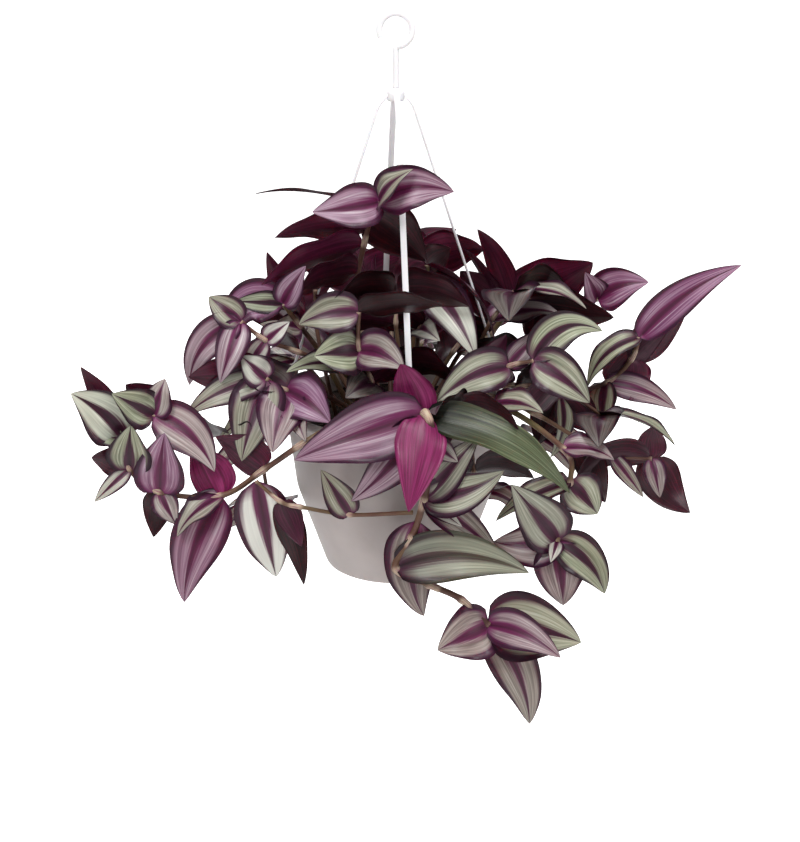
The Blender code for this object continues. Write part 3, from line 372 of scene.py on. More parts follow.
# Each shoot: the stem's radius, its nodes from the soil outwards, and its leaves.
SHOOTS = {
    "shoot_top": (0.2, [(-1, 0.5, FOOT), (-2, 0, 4.5), (-2.5, -0.5, 7.5), (-2, -1, 10.5),
                        (-1.5, -2, 12.5), (-1, -3.5, 13.75)], [
        leaf("leaf_top_arching", 5, (1, -4.5, 16), 1.9, "left", 0.7, -0.3, "green"),
        leaf("leaf_top_right", 5, (3.5, -4.5, 14.5), 2.6, "front", 0.5, 0.5, "purple"),
        leaf("leaf_top_left", 5, (-5, -5, 13.5), 2.5, "front", 0.3, 0.2, "purple"),
        leaf("", 4.6, (-8.5, -2.5, 14.5), 1.0, "edge", 0.3),
        leaf("", 3.6, (-7.5, -1.5, 11.5), 2.6, "under", 0.3),
        leaf("", 3, (-8.5, -2, 9.5), 2.6, "under", 0.3),
        leaf("leaf_top_hanging", 4, (2, -1, 9.5), 3.0, "back", 0.5),
        leaf("", 2.4, (-6.5, -2, 8), 2.8, "under", 0.3),
        leaf("", 1, (-5, -3, 8), 2.2, "under", 0.3),
        leaf("", 2, (1, -2.5, 6.5), 2.6, "under", 0.4, 0, "dark"),
    ]),
    "shoot_mid_top": (0.16, [(1, 1, FOOT), (1.5, 1, 4.5), (2, 0.5, 7.5), (2, 0, 9)], [
        leaf("", 3, (6.5, -1, 4), 1.6, "edge", 0.9),
        leaf("", 3, (3.5, 0.5, 10), 1.8, "back", 0.2),
        leaf("", 2, (5, -4, 4), 2.5, "front", 0.6, 0.3, "pale"),
        leaf("", 1, (2.5, -4.5, 5.5), 1.8, "front", 0.3, 0, "pale"),
        leaf("", 2, (5, 1.5, 5.5), 2.4, "back", 0.3),
        leaf("", 3, (0, -1.5, 6.5), 2.6, "back", 0.3),
        leaf("", 1, (-1.5, -2, 6), 2.4, "under", 0.3),
    ]),
    "shoot_upper_right": (0.2, [(2.25, 2, FOOT), (5, 2, 1.5), (6, 2, 3.5), (7, 2, 5),
                                (7.5, 1.75, 6), (10, 1.5, 6.5), (13, 1, 6.5)], [
        leaf("", 4, (5, 0, 11.5), 1.5, "back", 0.3, 0.3),
        leaf("", 3, (4.5, 1, 10), 1.2, "edge", 0.3),
        leaf("", 3, (4, 0, 8.5), 2.2, "back", 0.3),
        leaf("", 4, (12.5, -0.5, 9.5), 3.4, "back", 0.4, 0.3),
        leaf("", 4, (14, -1, 6), 3.0, "back", 0.4, 0.3),
        leaf("", 2, (3.5, 2, 4.5), 2.4, "under", 0.3),
        leaf("", 1, (9.5, 3.5, 2.5), 2.8, "up", 0.5),
        leaf("", 6, (12, 0, 8.5), 1.6, "front", 0.3, 0, "purple"),
        leaf("", 6, (16, -0.5, 8), 2.4, "front", 0.4, 0.3, "purple"),
        leaf("", 5, (9, -1.5, 3.5), 2.6, "back", 0.3),
    ]),
    "shoot_right_up": (0.18, [(3.25, 0.75, FOOT), (7, 0, 1), (10.5, -1, 0.75), (13.5, -1, 1.5),
                              (15, -1, 3), (15.5, -1, 4.5)], [
        leaf("", 4, (18.5, -1, 8), 2.2, "back", 0.3, 0.4),
        leaf("leaf_right_tip", 5, (21.5, -2, 9.5), 2.0, "front", 0.4, 0.5, "purple"),
        leaf("", 3, (17.5, -1, 5.5), 1.8, "back", 0.2),
        leaf("", 5, (12, -2, 1.5), 1.8, "left", 1.0, 0, "green"),
        leaf("", 3, (13.5, -2, -1.5), 2.3, "left", 0.4, 0, "green"),
        leaf("", 4, (15, -2, 0.5), 2.4, "back", 0.3),
        leaf("", 3, (18, -2, 0), 1.6, "front", 0.4, 0.3),
        leaf("", 2, (10, -3, -3), 1.8, "right", 0.6, 0, "green"),
        leaf("", 2, (9, -2, -2.5), 2.2, "back", 0.3),
        leaf("", 2, (13, -2.5, -1.5), 2.2, "back", 0.3),
        leaf("", 1, (8.5, 3, 3), 2.6, "up", 0.4),
    ]),
    "shoot_right_far": (0.16, [(2.25, -1, FOOT), (5.5, -3, 1.25), (8.5, -4, 0.5), (11.5, -5, -1),
                               (13.5, -5, -2), (16, -5, -2.25)], [
        leaf("", 5, (18.5, -6, -5.5), 2.4, "back", 0.6, 0.5),
        leaf("", 5, (16.5, -6, -4.5), 1.3, "front", 0.2),
        leaf("", 5, (11, -6, -3.5), 1.6, "back", 0.3, 1.0),
        leaf("", 4, (15.5, -6, -4.5), 1, "front", 0.2, 0, "green"),
        leaf("", 5, (16, -5, 0), 1.7, "back", 0.2),
        leaf("", 3, (13, -7, -4.5), 1.8, "back", 0.3),
        leaf("", 2, (10.5, -5, 3), 2.2, "under", 0.3),
    ]),
    "shoot_right_mid": (0.16, [(2.75, -2.25, FOOT), (5, -3, 2), (7, -4, 3.5), (8.5, -4.5, 4)], [
        leaf("", 3, (13, -3, 5.5), 2.1, "front", 0.6, 1.1, "green"),
        leaf("leaf_mid_left", 2, (2.5, -6.5, 2), 2.5, "front", 0.5, -0.4, "green"),
        leaf("", 2, (6.5, -5.5, 2), 1.5, "front", 0.2, 0, "young"),
        leaf("", 3, (12, -5, 1.5), 2.5, "front", 0.4, 0.2, "green"),
        leaf("", 1, (7, -2, 5), 1.8, "back", 0.2),
        leaf("", 2, (9, -3, 5.5), 1.5, "front", 0.2),
        leaf("", 1, (8.5, -5, 0), 2.6, "up", 0.4, 0, "dark"),
    ]),
    "shoot_lower_right": (0.2, [(3.5, -4, FOOT), (6, -5.5, 1.5), (10.25, -6.5, -1), (10.75, -7, -3),
                                (10, -7.5, -6.75)], [
        leaf("", 3, (6, -8, -5), 2.0, "up", 0.3, 0, "green"),
        leaf("", 3, (12.5, -7.5, -5), 2.5, "front", 0.3, 0, "green"),
        leaf("leaf_lower_up", 4, (7, -9, -2.5), 2.9, "front", 0.4, 0, "green"),
        leaf("", 4, (6, -9, -6.5), 2.5, "front", 0.3, 0.3),
        leaf("", 4, (9.5, -9, -7.5), 0.9, "front", 0.1, 0, "young"),
        leaf("leaf_lower_down", 4, (10.5, -8, -11), 2.9, "front", 0.3),
        leaf("", 4, (13, -8, -10), 2.3, "front", 0.5, 0.5, "green"),
        leaf("", 2, (13.5, -7, -1.5), 2.0, "up", 0.4),
        leaf("", 1, (9, -7, 1.5), 2.4, "up", 0.4, 0, "green"),
    ]),
    "shoot_front": (0.25, [(1.25, -5, FOOT), (1.75, -8, 1.75), (2.25, -8.5, 0), (1.75, -8.5, -3.5),
                           (1, -8.5, -6), (0, -8.75, -8), (2, -9, -9), (4, -9, -10),
                           (5.75, -9, -11.75)], [
        leaf("leaf_front_striped", 1, (-6.25, -9, -0.75), 3.5, "front", 0.3, 0, "purple"),
        leaf("leaf_front_low", 1.2, (-2.75, -9.25, -3.5), 2.5, "front", 0.2, 0.3, "purple"),
        leaf("leaf_front_curled", 0.75, (0.25, -8.5, 5.5), 2.2, "back", 0.4, 0, "magenta"),
        leaf("leaf_front_magenta", 1, (0.75, -10.75, -3.25), 2.7, "back", -0.8, 0, "magenta"),
        leaf("leaf_front_green", 0.85, (10.75, -9.5, -2.75), 2.4, (0.3, -0.7, 0.8), 0.9, 0.6, "plain"),
        leaf("", 3, (5, -9, 0.5), 2, "front", 0.3),
        leaf("", 3, (6.5, -9, -1.5), 2.3, "front", 0.3, -0.5, "green"),
        leaf("", 3, (4, -9.5, -5), 1.1, "front", 0.1, 0, "young"),
        leaf("", 3, (6.5, -9, -7.5), 1.8, "front", 0.3, 0.2),
        leaf("", 2, (3.75, -9, -1), 1.2, "front", 0.1),
        leaf("", 2, (3.5, -8.75, 1), 1.4, "back", 0.1),
        leaf("leaf_low_silver", 5, (8.25, -10.25, -8.5), 2.8, "front", 0.8, 0.9, "frosted"),
        leaf("", 3.6, (1.75, -8.75, -11.75), 2.9, "front", 0.1, -0.6),
        leaf("leaf_bottom_left", 8, (2.5, -10, -12.25), 3.1, "front", 0.5),
        leaf("leaf_bottom_right", 8, (11.5, -10, -12.5), 3.8, "front", 0.4, 0.3, "green"),
        leaf("", 8, (10, -12, -12.5), 2.2, "front", 0.5, 0.4),
        leaf("leaf_bottom_down", 8, (8.5, -9, -19), 2.6, "front", 0.5, 0.6),
    ]),
    "shoot_front_left": (0.14, [(1.05, -8.4, -4.5), (-2.75, -8.75, -4.5), (-5.75, -8.75, -4),
                                (-7, -8.5, -3.75), (-8.5, -8.25, -2.5)], [
        leaf("", 3, (-5.75, -9, -6.5), 1.5, "back", 0.2),
        leaf("", 3, (-5.5, -9, -9), 1.6, "back", 0.3),
        leaf("", 1, (-4.5, -9, -1.5), 1.7, "front", 0.2, 0, "green"),
        leaf("leaf_left_bright", 4, (-7.5, -9, -9.75), 3.0, "front", 0.3, 0, "silver"),
    ]),
    "shoot_left": (0.2, [(-0.75, -3, FOOT), (-3, -6.5, 0.75), (-5.5, -7.5, -0.25), (-8, -7.5, -2),
                         (-10.75, -7.5, -3.75), (-14.5, -7.5, -3.5), (-16.25, -7.5, -2),
                         (-16.5, -7.25, 0)], [
        leaf("", 7, (-19.5, -8, 3), 2.9, "front", 0.3, -0.3, "pale"),
        leaf("", 7, (-19, -7, 4.5), 1.5, "back", 0.2),
        leaf("", 7, (-18.5, -8, 0.5), 1.4, "front", 0.2, 0, "green"),
        leaf("", 6, (-18.5, -8, -1), 2.0, "back", 0.3),
        leaf("", 6, (-18.5, -8, -4), 1.0, "front", 0.2, 0, "young"),
        leaf("", 5, (-14, -8, 0.5), 2.8, "front", 0.3, 0, "purple"),
        leaf("", 6, (-16, -8, 1), 2.5, "front", 0.3, 0, "green"),
        leaf("", 5, (-15, -7.5, -6.5), 1.7, "back", 0.2),
        leaf("", 5, (-13.5, -8, -5.5), 1.5, "front", 0.2),
        leaf("", 4, (-13.5, -8.5, -5.75), 1.9, "up", 0.4, 0, "green"),
        leaf("leaf_left_long", 4, (-13.25, -8.75, -10.5), 3.0, "front", 0.3, -0.4, "purple"),
        leaf("", 4, (-12.5, -7, -0.5), 2.5, "back", 0.3, 0, "magenta"),
        leaf("", 3, (-11, -7, 0), 2.2, "back", 0.3),
    ]),
    "shoot_left_side": (0.13, [(-14.5, -7.1, -3.2), (-14.5, -6.75, -1), (-14.75, -6.75, 1.25)], [
        leaf("", 2, (-11, -8, -2), 2.5, "front", 0.3, 0.6),
        leaf("", 2, (-14, -6.5, 3.5), 1.8, "front", 0.3),
        leaf("", 2, (-16.5, -6, 3), 2.2, "back", 0.4),
        leaf("", 2, (-17, -8, 3), 2.2, "front", 0.3, 0, "green"),
    ]),
    "shoot_left_mid": (0.16, [(-1.75, -1, FOOT), (-4.75, -4, 1.75), (-6.75, -5, 2.25), (-8, -5, 3)], [
        leaf("", 3, (-13, -6, 1), 1.8, "front", 0.4, -0.3, "green"),
        leaf("", 3, (-11, -6, -0.5), 1.4, "front", 0.4, 0.4, "green"),
        leaf("", 3, (-9.5, -7, -1.5), 3.0, "front", 0.3, 0, "green"),
        leaf("", 2, (-7.5, -7, -1), 2.8, "front", 0.3),
        leaf("", 3, (-12.75, -6, 3.5), 2.5, "back", 0.3),
        leaf("", 2, (-4, -7.5, 1), 2.8, "front", 0.3, 0.2, "purple"),
        leaf("", 2, (-5.5, -7, -0.5), 1.6, "front", 0.2),
        leaf("", 3, (-9.5, -5, 4.5), 1.9, "front", 0.3, 0, "pale"),
        leaf("", 2, (-10.5, -2, 3), 2.8, "up", 0.4, 0, "dark"),
    ]),
    "shoot_upper_left": (0.16, [(-2.25, 0.25, FOOT), (-3.25, -2, 2.5), (-6, -3.5, 4.25), (-8, -4.25, 5.25),
                                (-9.5, -4.5, 6.5)], [
        leaf("leaf_upper_drooping", 4, (-12.75, -5, 2.5), 2.0, "front", 0.5, -0.8, "purple"),
        leaf("", 4, (-10.75, -5, 2.5), 1.8, "front", 0.3, 0, "purple"),
        leaf("", 3, (-9.5, -5, 3), 1.3, "front", 0.2, 0, "young"),
        leaf("", 3, (-6.5, -4.5, 6.5), 1.3, "front", 0.2, 0, "young"),
        leaf("", 4, (-11.5, -4, 8), 1.8, "front", 0.3, 0, "green"),
        leaf("", 2, (-9, -1.5, 4.5), 2.6, "under", 0.4),
    ]),
    "shoot_upper_left_rear": (0.19, [(-3, 1.25, FOOT), (-4.75, 0, 3), (-6, -2, 5.5), (-7, -3, 7.25)], [
        leaf("", 3, (-10, -4.5, 5), 2.4, "front", 0.5, -1.3, "purple"),
        leaf("", 3, (-10, -3.5, 7.5), 1.3, "front", 0.2, 0, "green"),
        leaf("", 3, (-5.5, -3, 10), 1.7, "front", 0.2, 0, "purple"),
        leaf("", 2.7, (-8, -2.5, 10.5), 1.2, "back", 0.2),
        leaf("", 2, (-7.5, -4.5, 5.5), 1.5, "front", 0.2, 0, "green"),
        leaf("", 2, (-9.5, 0, 8), 2.6, "under", 0.4),
        leaf("", 1, (-9, 2, 4.5), 2.8, "up", 0.4),
    ]),
    "shoot_centre": (0.15, [(-0.75, -2, FOOT), (-1.5, -4, 2.5), (-2.25, -4.75, 4.75), (-2.25, -5, 7.25)], [
        leaf("", 2, (0.5, -7, 4.25), 2.5, "front", 0.3, 0.3),
        leaf("", 2, (-5, -6, 4.75), 2.8, "front", 0.4, 0, "green"),
        leaf("", 1, (-6.75, -6, 3.25), 2.5, "up", 0.6, -0.5, "green"),
        leaf("", 3, (-6, -5, 6.5), 2.3, "front", 0.3, -0.2, "green"),
        leaf("", 3, (3, -5.25, 8.5), 2.2, "under", 0.2, 0, "dark"),
        leaf("", 1, (-3, -7, 2.5), 2.6, "front", 0.4, 0, "dark"),
        leaf("", 1, (1, -5, 4), 2.4, "under", 0.3),
    ]),
}

# Shoots that fill the middle of the plant: their routes, which way their leaves point, how far and how wide.
INNER = {
    "shoot_inner_left": ([(-3.75, -1.5, FOOT), (-4.5, -2.5, 3), (-5, -2.5, 6), (-5, -2.5, 8)], 215, 4.8, 3.2),
    "shoot_inner_middle": ([(0, -1, FOOT), (0.25, -2.5, 3), (0, -3, 6), (0, -3.25, 8)], 265, 4.8, 3.2),
    "shoot_inner_right": ([(4, -0.75, FOOT), (5, -1, 3), (6, -1, 5.5), (7.5, -1, 7.5)], 320, 4.8, 3.2),
    "shoot_low_left": ([(-3.5, -3.5, FOOT), (-5.25, -5.5, 1.5), (-8.25, -6.25, 0.75), (-10, -6, -0.75)],
                       210, 4, 2.8),
    "shoot_low_middle": ([(1.75, -4, FOOT), (3.75, -6.5, 1.5), (4.5, -8, 0), (4.75, -8, -2)], 285, 3.8, 2.6),
    "shoot_low_right": ([(4.5, -2.75, FOOT), (7.5, -3, 1.75), (10.5, -3, 1.5), (13, -3, 0)], 320, 4.5, 2.8),
}

# The shoots on the far side: their direction in degrees from +X, how far out they end, and how high.
TRAILING = [(22, 11, -4), (50, 9.5, -9), (76, 11, -6), (106, 9.5, -10.5), (130, 11, -5), (156, 10, -9)]
STANDING = [(64, 3.5, 8.5), (118, 4.5, 7), (37, 7.5, 4.5), (148, 7.5, 4.5), (90, 7, 5)]


def around(degrees, out, z):
    """A point at a height, so far out from the pot's axis, in a direction in degrees from +X."""
    angle = math.radians(degrees)
    return (out * math.cos(angle), out * math.sin(angle), z)


def alternate_leaves(route, degrees, reach, drop, width):
    """Leaves that leave the stem's nodes to the left and right in turn, with a spray at its end."""
    rows = []
    for i, place in enumerate(route[1:], 1):
        for turn in (50, -50) if i < len(route) - 1 else (70, 5, -70):
            side = turn + (12 if i % 2 else -12)
            dx, dy, _ = around(degrees + side, reach, 0)
            tip = (place[0] + dx, place[1] + dy, place[2] + drop + 0.4 * (i % 3))
            outward = (0.5 * dx / reach, 0.5 * dy / reach, 0.85)
            rows.append(leaf("", i, tip, width, outward, 0.5, 0, "green" if i % 2 else "lilac"))
    return rows


def inner_shoots():
    """The shoots that fill the middle: two leaves in three turn their wine-red undersides to the viewer and
    are darkened with painted shade.
    """
    shoots = {}
    for name, (route, degrees, reach, width) in INNER.items():
        leaves = alternate_leaves(route, degrees, reach, -0.5, width)
        for row in leaves[::3] + leaves[1::3]:
            row["tone"] = "dark"
            row["faces"] = FACING["under"]
        shoots[name] = (FILLER_STEM, route, leaves)
    return shoots


def far_side_shoots():
    """The shoots behind the plant: those that spill over the rim, and those that stand."""
    shoots = {}
    for k, (degrees, out, low) in enumerate(TRAILING, 1):
        route = [around(degrees, 4, FOOT), around(degrees, 7, 1.75), around(degrees, out - 0.75, 0.5),
                 around(degrees, out, low / 2), around(degrees, out - 0.5, low)]
        leaves = alternate_leaves(route, degrees, 4.2, -1.5, 2.5)
        shoots[f"shoot_trailing_{k}"] = (FAR_STEM, route, leaves)
    for k, (degrees, out, high) in enumerate(STANDING, 1):
        route = [around(degrees + 8, 2.5, FOOT), around(degrees + 4, 0.4 * out + 2, high / 2),
                 around(degrees, out, high)]
        leaves = alternate_leaves(route, degrees, 4.5, 0.5, 2.6)
        for row in leaves:
            row["faces"] = FACING["back"]
        shoots[f"shoot_standing_{k}"] = (FAR_STEM, route, leaves)
    return shoots


def smooth_route(points, steps):
    """A smooth line through the points, with the same number of steps between each two."""
    p = np.array(points, float)
    p = np.vstack([2 * p[0] - p[1], p, 2 * p[-1] - p[-2]])
    t = (np.arange(steps) / steps)[:, None]
    line = []
    for a, b, c, d in zip(p, p[1:], p[2:], p[3:]):
        cubic = (3 * b - a - 3 * c + d) * t**3
        line.append(0.5 * (2 * b + (c - a) * t + (2 * a - 5 * b + 4 * c - d) * t**2 + cubic))
    return np.vstack(line + [p[-2][None]])


def outline(t):
    """The blade's half width at t, as a share of the most: a narrow sheath, a broad middle, a pointed tip."""
    return 0.10 * (1 - t) ** 3 + np.clip(np.sin(np.pi * t**0.62), 0, 1) ** 0.85


def blade_line(base, row, t):
    """The midrib's points, and the directions across the blade and out of its upper side, at each t."""
    chord = np.array(row["tip"], float) - base
    along = unit(chord)
    faces = np.array(row["faces"], float)
    n = unit(faces - np.dot(faces, along) * along)
    side = np.cross(n, along)
    bow = (4 * t * (1 - t))[:, None]
    mid = base + t[:, None] * chord + bow * (row["arch"] * n + row["sweep"] * side)
    slope = (4 - 8 * t)[:, None]
    tangent = chord + slope * (row["arch"] * n + row["sweep"] * side)
    tangent /= np.linalg.norm(tangent, axis=1)[:, None]
    lift = n - (tangent @ n)[:, None] * tangent
    lift /= np.linalg.norm(lift, axis=1)[:, None]
    return mid, np.cross(lift, tangent), lift


def blade_solid(base, row, thick):
    """A closed blade, thick at the midrib and sharp at its edges and tip: points and faces."""
    t = np.array(BLADE_STATIONS)
    mid, across, lift = blade_line(base, row, t)
    half = (row["width"] / 2 * outline(t))[:, None]
    rise = BLADE_FOLD * half
    body = thick / 2 * np.sqrt(1 - 0.9 * t)[:, None]
    rings = np.stack([mid - across * half + lift * rise, mid + lift * body,
                      mid + across * half + lift * rise, mid - lift * body], axis=1)[:-1]
    points = np.vstack([rings.reshape(-1, 3), mid[-1:]])
    faces = [(3, 2, 1, 0)]
    for i in range(len(t) - 2):
        for j in range(4):
            k = (j + 1) % 4
            faces.append((4 * i + j, 4 * i + k, 4 * i + 4 + k, 4 * i + 4 + j))
    last = 4 * (len(t) - 2)
    faces += [(last + j, last + (j + 1) % 4, len(points) - 1) for j in range(4)]
    return points, faces


def transported(tangent):
    """Two directions square to each tangent, carried from one to the next without twisting."""
    tangent = tangent / np.linalg.norm(tangent, axis=1)[:, None]
    level = unit(np.cross(tangent[0], (0.3, 0.9, 0.2)))
    levels = []
    for way in tangent:
        level = unit(level - np.dot(level, way) * way)
        levels.append(level)
    levels = np.array(levels)
    return levels, np.cross(tangent, levels)


def tube_solid(line, radius):
    """A stem's tube of even rings along the line, with flat ends: points and faces."""
    tangent = np.gradient(line, axis=0)
    if line[0][2] == FOOT:
        tangent[0] = (0, 0, 1)
    turn = 2 * np.pi * np.arange(STEM_SIDES) / STEM_SIDES
    size = radius * np.linspace(1, STEM_TAPER, len(line))
    rings = [place + r * (np.cos(turn)[:, None] * level + np.sin(turn)[:, None] * other)
             for place, r, level, other in zip(line, size, *transported(tangent))]
    return ring_solid(rings)


def ring_solid(rings):
    """Rings of the same number of points joined into a closed solid with flat ends."""
    count = len(rings[0])
    points = np.vstack(rings)
    faces = [tuple(range(count)), tuple((len(rings) - 1) * count + i for i in reversed(range(count)))]
    for i in range(len(rings) - 1):
        for j in range(count):
            k = (j + 1) % count
            faces.append((i * count + j, (i + 1) * count + j, (i + 1) * count + k, i * count + k))
    return points, faces


def tree_of(solid):
    """The solid's faces, sorted for overlap tests."""
    points, faces = solid
    return BVHTree.FromPolygons([Vector(p) for p in points], faces)


def box_of(points):
    """The lowest and highest corners round the points."""
    return np.vstack([points.min(axis=0), points.max(axis=0)])


class Taken:
    """The room already taken, so that each new leaf can look for a clear place."""

    def __init__(self):
        self.items = []

    def put(self, owner, solid):
        """Adds a solid that belongs to the owner."""
        self.items.append((owner, box_of(solid[0]), tree_of(solid)))

    def clear(self, owner, solid):
        """Whether the solid meets nothing but what its own owner holds."""
        box = box_of(solid[0])
        tree = None
        for other, room, standing in self.items:
            if other == owner or (box[0] > room[1]).any() or (box[1] < room[0]).any():
                continue
            tree = tree or tree_of(solid)
            if tree.overlap(standing):
                return False
        return True


# A leaf that meets another moves its tip back or forward, up or down, until it is clear.
TIP_MOVES = [(0, 0)] + [(y, z) for y in (0.5, -0.5, 1, -1, 1.5, -1.5, 2.2, -2.2, 3) for z in (0, 0.5, -0.5)]


def spot(route, node):
    """The place on a stem at a node, or part of the way to the next one."""
    i = min(int(node), len(route) - 2)
    return np.array(route[i]) + (node - i) * (np.array(route[i + 1]) - route[i])


def settle(row, node, owner, start, taken):
    """The leaf's row and base once it is clear of everything, or None where there is no room for it."""
    tip = np.array(row["tip"], float)
    for y, z in TIP_MOVES:
        moved = dict(row, tip=tuple(tip + (0, y, z)))
        way = unit(np.array(moved["tip"]) - node)
        base = np.array(node) + start * way
        if taken.clear(owner, blade_solid(base, moved, TEST_THICK)):
            return moved, base
    return None


def place_leaves(shoots, taken):
    """Every leaf's settled row and base by shoot, the named leaves first."""
    placed = {name: [] for name in shoots}
    for named in (True, False):
        for shoot, (radius, route, leaves) in shoots.items():
            for k, row in enumerate(leaves):
                if bool(row["name"]) != named:
                    continue
                owner = row["name"] or shoot
                rooted = (-0.05 - 0.017 * (k % 4), -0.02 - 0.013 * (k % 5))
                starts = (radius + 0.15, radius + 0.35, radius + 0.6) if named else rooted
                for start in starts:
                    found = settle(row, spot(route, row["node"]), owner, start, taken)
                    if found:
                        taken.put(owner, blade_solid(found[1], found[0], BLADE_THICK))
                        placed[shoot].append(found)
                        break
    return placed


def taken_by_frame():
    """The room taken by the CAD's pot, soil and hanger, in centimetres from the rim's centre."""
    taken = Taken()
    fixed = ["pot", "soil", "hanger_hub", "hanger_hook"]
    for name in fixed + ["hanger_strand_" + s for s in ("front", "right", "back", "left")]:
        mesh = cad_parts[name].data
        points = np.empty(3 * len(mesh.vertices), np.float32)
        mesh.vertices.foreach_get("co", points)
        points = points.reshape(-1, 3).astype(float) / CM + (0, 0, RIM_DROP)
        taken.put(name, (points, [tuple(face.vertices) for face in mesh.polygons]))
    return taken


taken = taken_by_frame()
shoots = dict(SHOOTS, **inner_shoots(), **far_side_shoots())
for name, (radius, route, _) in shoots.items():
    taken.put(name, tube_solid(smooth_route(route, STEM_STEPS), radius))
placed = place_leaves(shoots, taken)

STEM_RINGS = 26
STEM_ROUND = 14
SHEATH_LONG = 0.75
SHEATH_THICK = 0.03
NODE_SWELL = 0.22
NODE_LONG = 0.22
ROOT_DEEP = 0.35

# A fleshy stem is smooth and waxy, brown to olive in patches of about 30 mm, with wine-red streaks along it.
# Its sheaths are pale and papery.
fleshy_stem, tree, shader = finish_of("fleshy_stem")
here = put(tree, "TexCoord").outputs["Object"]
along = put(tree, "UVMap", uv_map="along").outputs["UV"]
stretched = put(tree, "Mapping", {"Vector": along}, Scale=(26.0, 1.2, 1.0)).outputs["Vector"]
streaks = put(tree, "TexNoise", {"Vector": stretched}, Scale=1.0, Detail=4.0).outputs["Fac"]
patches = put(tree, "TexNoise", {"Vector": here}, Scale=30.0, Detail=2.0).outputs["Fac"]
on_sheath = put(tree, "Attribute", attribute_name="sheath").outputs["Fac"]
skin = put(tree, "ValToRGB", {"Fac": patches}, [(0.3, "3E2322"), (0.5, "634636"), (0.72, "70663F")])
flushed = put(tree, "ValToRGB", {"Fac": streaks}, [(0.45, "000000"), (0.7, "B0B0B0")])
papery = put(tree, "ValToRGB", {"Fac": streaks}, [(0.35, "8A4E66"), (0.55, "B9A58C"), (0.8, "D2C9A8")])
red = put(tree, "MixRGB", {"Fac": flushed.outputs["Color"], "Color1": skin.outputs["Color"],
                           "Color2": linear("5A2230")})
mixed = put(tree, "MixRGB", {"Fac": on_sheath, "Color1": red.outputs["Color"],
                             "Color2": papery.outputs["Color"]})
bump = put(tree, "Bump", {"Height": streaks}, Strength=0.3, Distance=0.0006)
wire(tree, shader, {"Base Color": mixed.outputs["Color"], "Roughness": 0.42, "Normal": bump.outputs["Normal"],
                    "IOR": 1.42, "Subsurface Weight": 0.1, "Subsurface Scale": 0.002})


def stem_surface(route, radius):
    """A tube whose radius narrows evenly to its tip and swells by NODE_SWELL exp(-(d/NODE_LONG)^2) round each
    node, with a sheath standing proud for its length above the node."""
    line = smooth_route(route, STEM_RINGS)
    if line[0][2] == FOOT:
        line = np.vstack([line[:1] - (0, 0, ROOT_DEEP), line])
    first, second = transported(np.gradient(line, axis=0))
    run = np.concatenate([[0], np.cumsum(np.linalg.norm(np.diff(line, axis=0), axis=1))])
    nodes = [run[np.argmin(np.linalg.norm(line - np.array(p), axis=1))] for p in route[1:]]
    away = run[:, None] - np.array(nodes)[None]
    bulge = (NODE_SWELL * np.exp(-(away / NODE_LONG) ** 2)).sum(axis=1)
    sheath = (1 / (1 + np.exp(-(away + 0.05) / 0.05)) / (1 + np.exp((away - SHEATH_LONG) / 0.05))).sum(axis=1)
    size = radius * np.linspace(1, STEM_TAPER, len(line)) * (1 + bulge) + SHEATH_THICK * sheath
    turn = 2 * np.pi * np.arange(STEM_ROUND) / STEM_ROUND
    ring = np.cos(turn)[None, :, None] * first[:, None] + np.sin(turn)[None, :, None] * second[:, None]
    grid = closed_ends(line[:, None] + size[:, None, None] * ring)
    uv = np.stack(np.broadcast_arrays(turn[None] / (2 * np.pi), np.r_[0, run, run[-1]][:, None]), axis=-1)
    values = np.repeat(np.r_[sheath[:1], sheath, sheath[-1:]], STEM_ROUND)
    return grid, uv.reshape(-1, 2), {"sheath": np.clip(values, 0, 1)}


LEAF_LONG = 26
LEAF_WIDE = 11
LEAF_THICK = 0.04
LEAF_TWIST = 30

# How a leaf is coloured: green or lilac silver, how much painted shade darkens it, how pale (partly a young
# leaf's own paleness, partly a painted highlight), plain green, and how much its underside is lit magenta
# rather than wine red in painted shade.
TONES = {
    "lilac": (0.65, 0.05, 0.0, 0.0, 0.15),
    "green": (0.9, 0.05, 0.0, 0.0, 0.1),
    # Leaves deep inside the plant, darkened with painted shade.
    "dark": (0.6, 0.6, 0.0, 0.0, 0.0),
    "pale": (0.85, 0.0, 0.35, 0.0, 0.2),
    "young": (0.7, 0.0, 0.35, 0.0, 0.5),
    "plain": (0.9, 0.15, 0.0, 1.0, 0.0),
    "magenta": (0.1, 0.0, 0.0, 0.0, 1.0),
    "purple": (0.08, 0.1, 0.0, 0.0, 0.4),
    # Silver lit almost white by a painted highlight of sun.
    "silver": (0.7, 0.0, 0.75, 0.0, 0.2),
    "frosted": (0.95, 0.0, 0.2, 0.5, 0.1),
}
TRAITS = ("green", "dark", "pale", "plain", "magenta", "chance")

# A zebra-striped blade: dark purple along its midrib and margins, a band of silver on each side where air
# under the clear skin scatters light, fine veins that run its length, and magenta below, turned to a
# near-black wine red by painted shade on leaves in shade, whose upper sides painted shade also darkens. Some
# silver is paled, partly as a young leaf's own paleness and partly as a painted highlight. Its skin's cells,
# really too fine to see, are drawn about 0.7 mm across.
striped_blade, tree, shader = finish_of("striped_blade")
trait = {n: put(tree, "Attribute", attribute_name=n).outputs["Fac"] for n in TRAITS + ("under",)}
here = put(tree, "TexCoord").outputs["Object"]
uv = put(tree, "UVMap", uv_map="along").outputs["UV"]
parts = put(tree, "SeparateXYZ", {"Vector": uv})
place = parts.outputs["Y"]
centred = put(tree, "Math", {0: parts.outputs["X"], 1: 2.0, 2: -1.0}, operation="MULTIPLY_ADD").outputs[0]
spread = put(tree, "Math", {0: centred}, operation="ABSOLUTE").outputs[0]
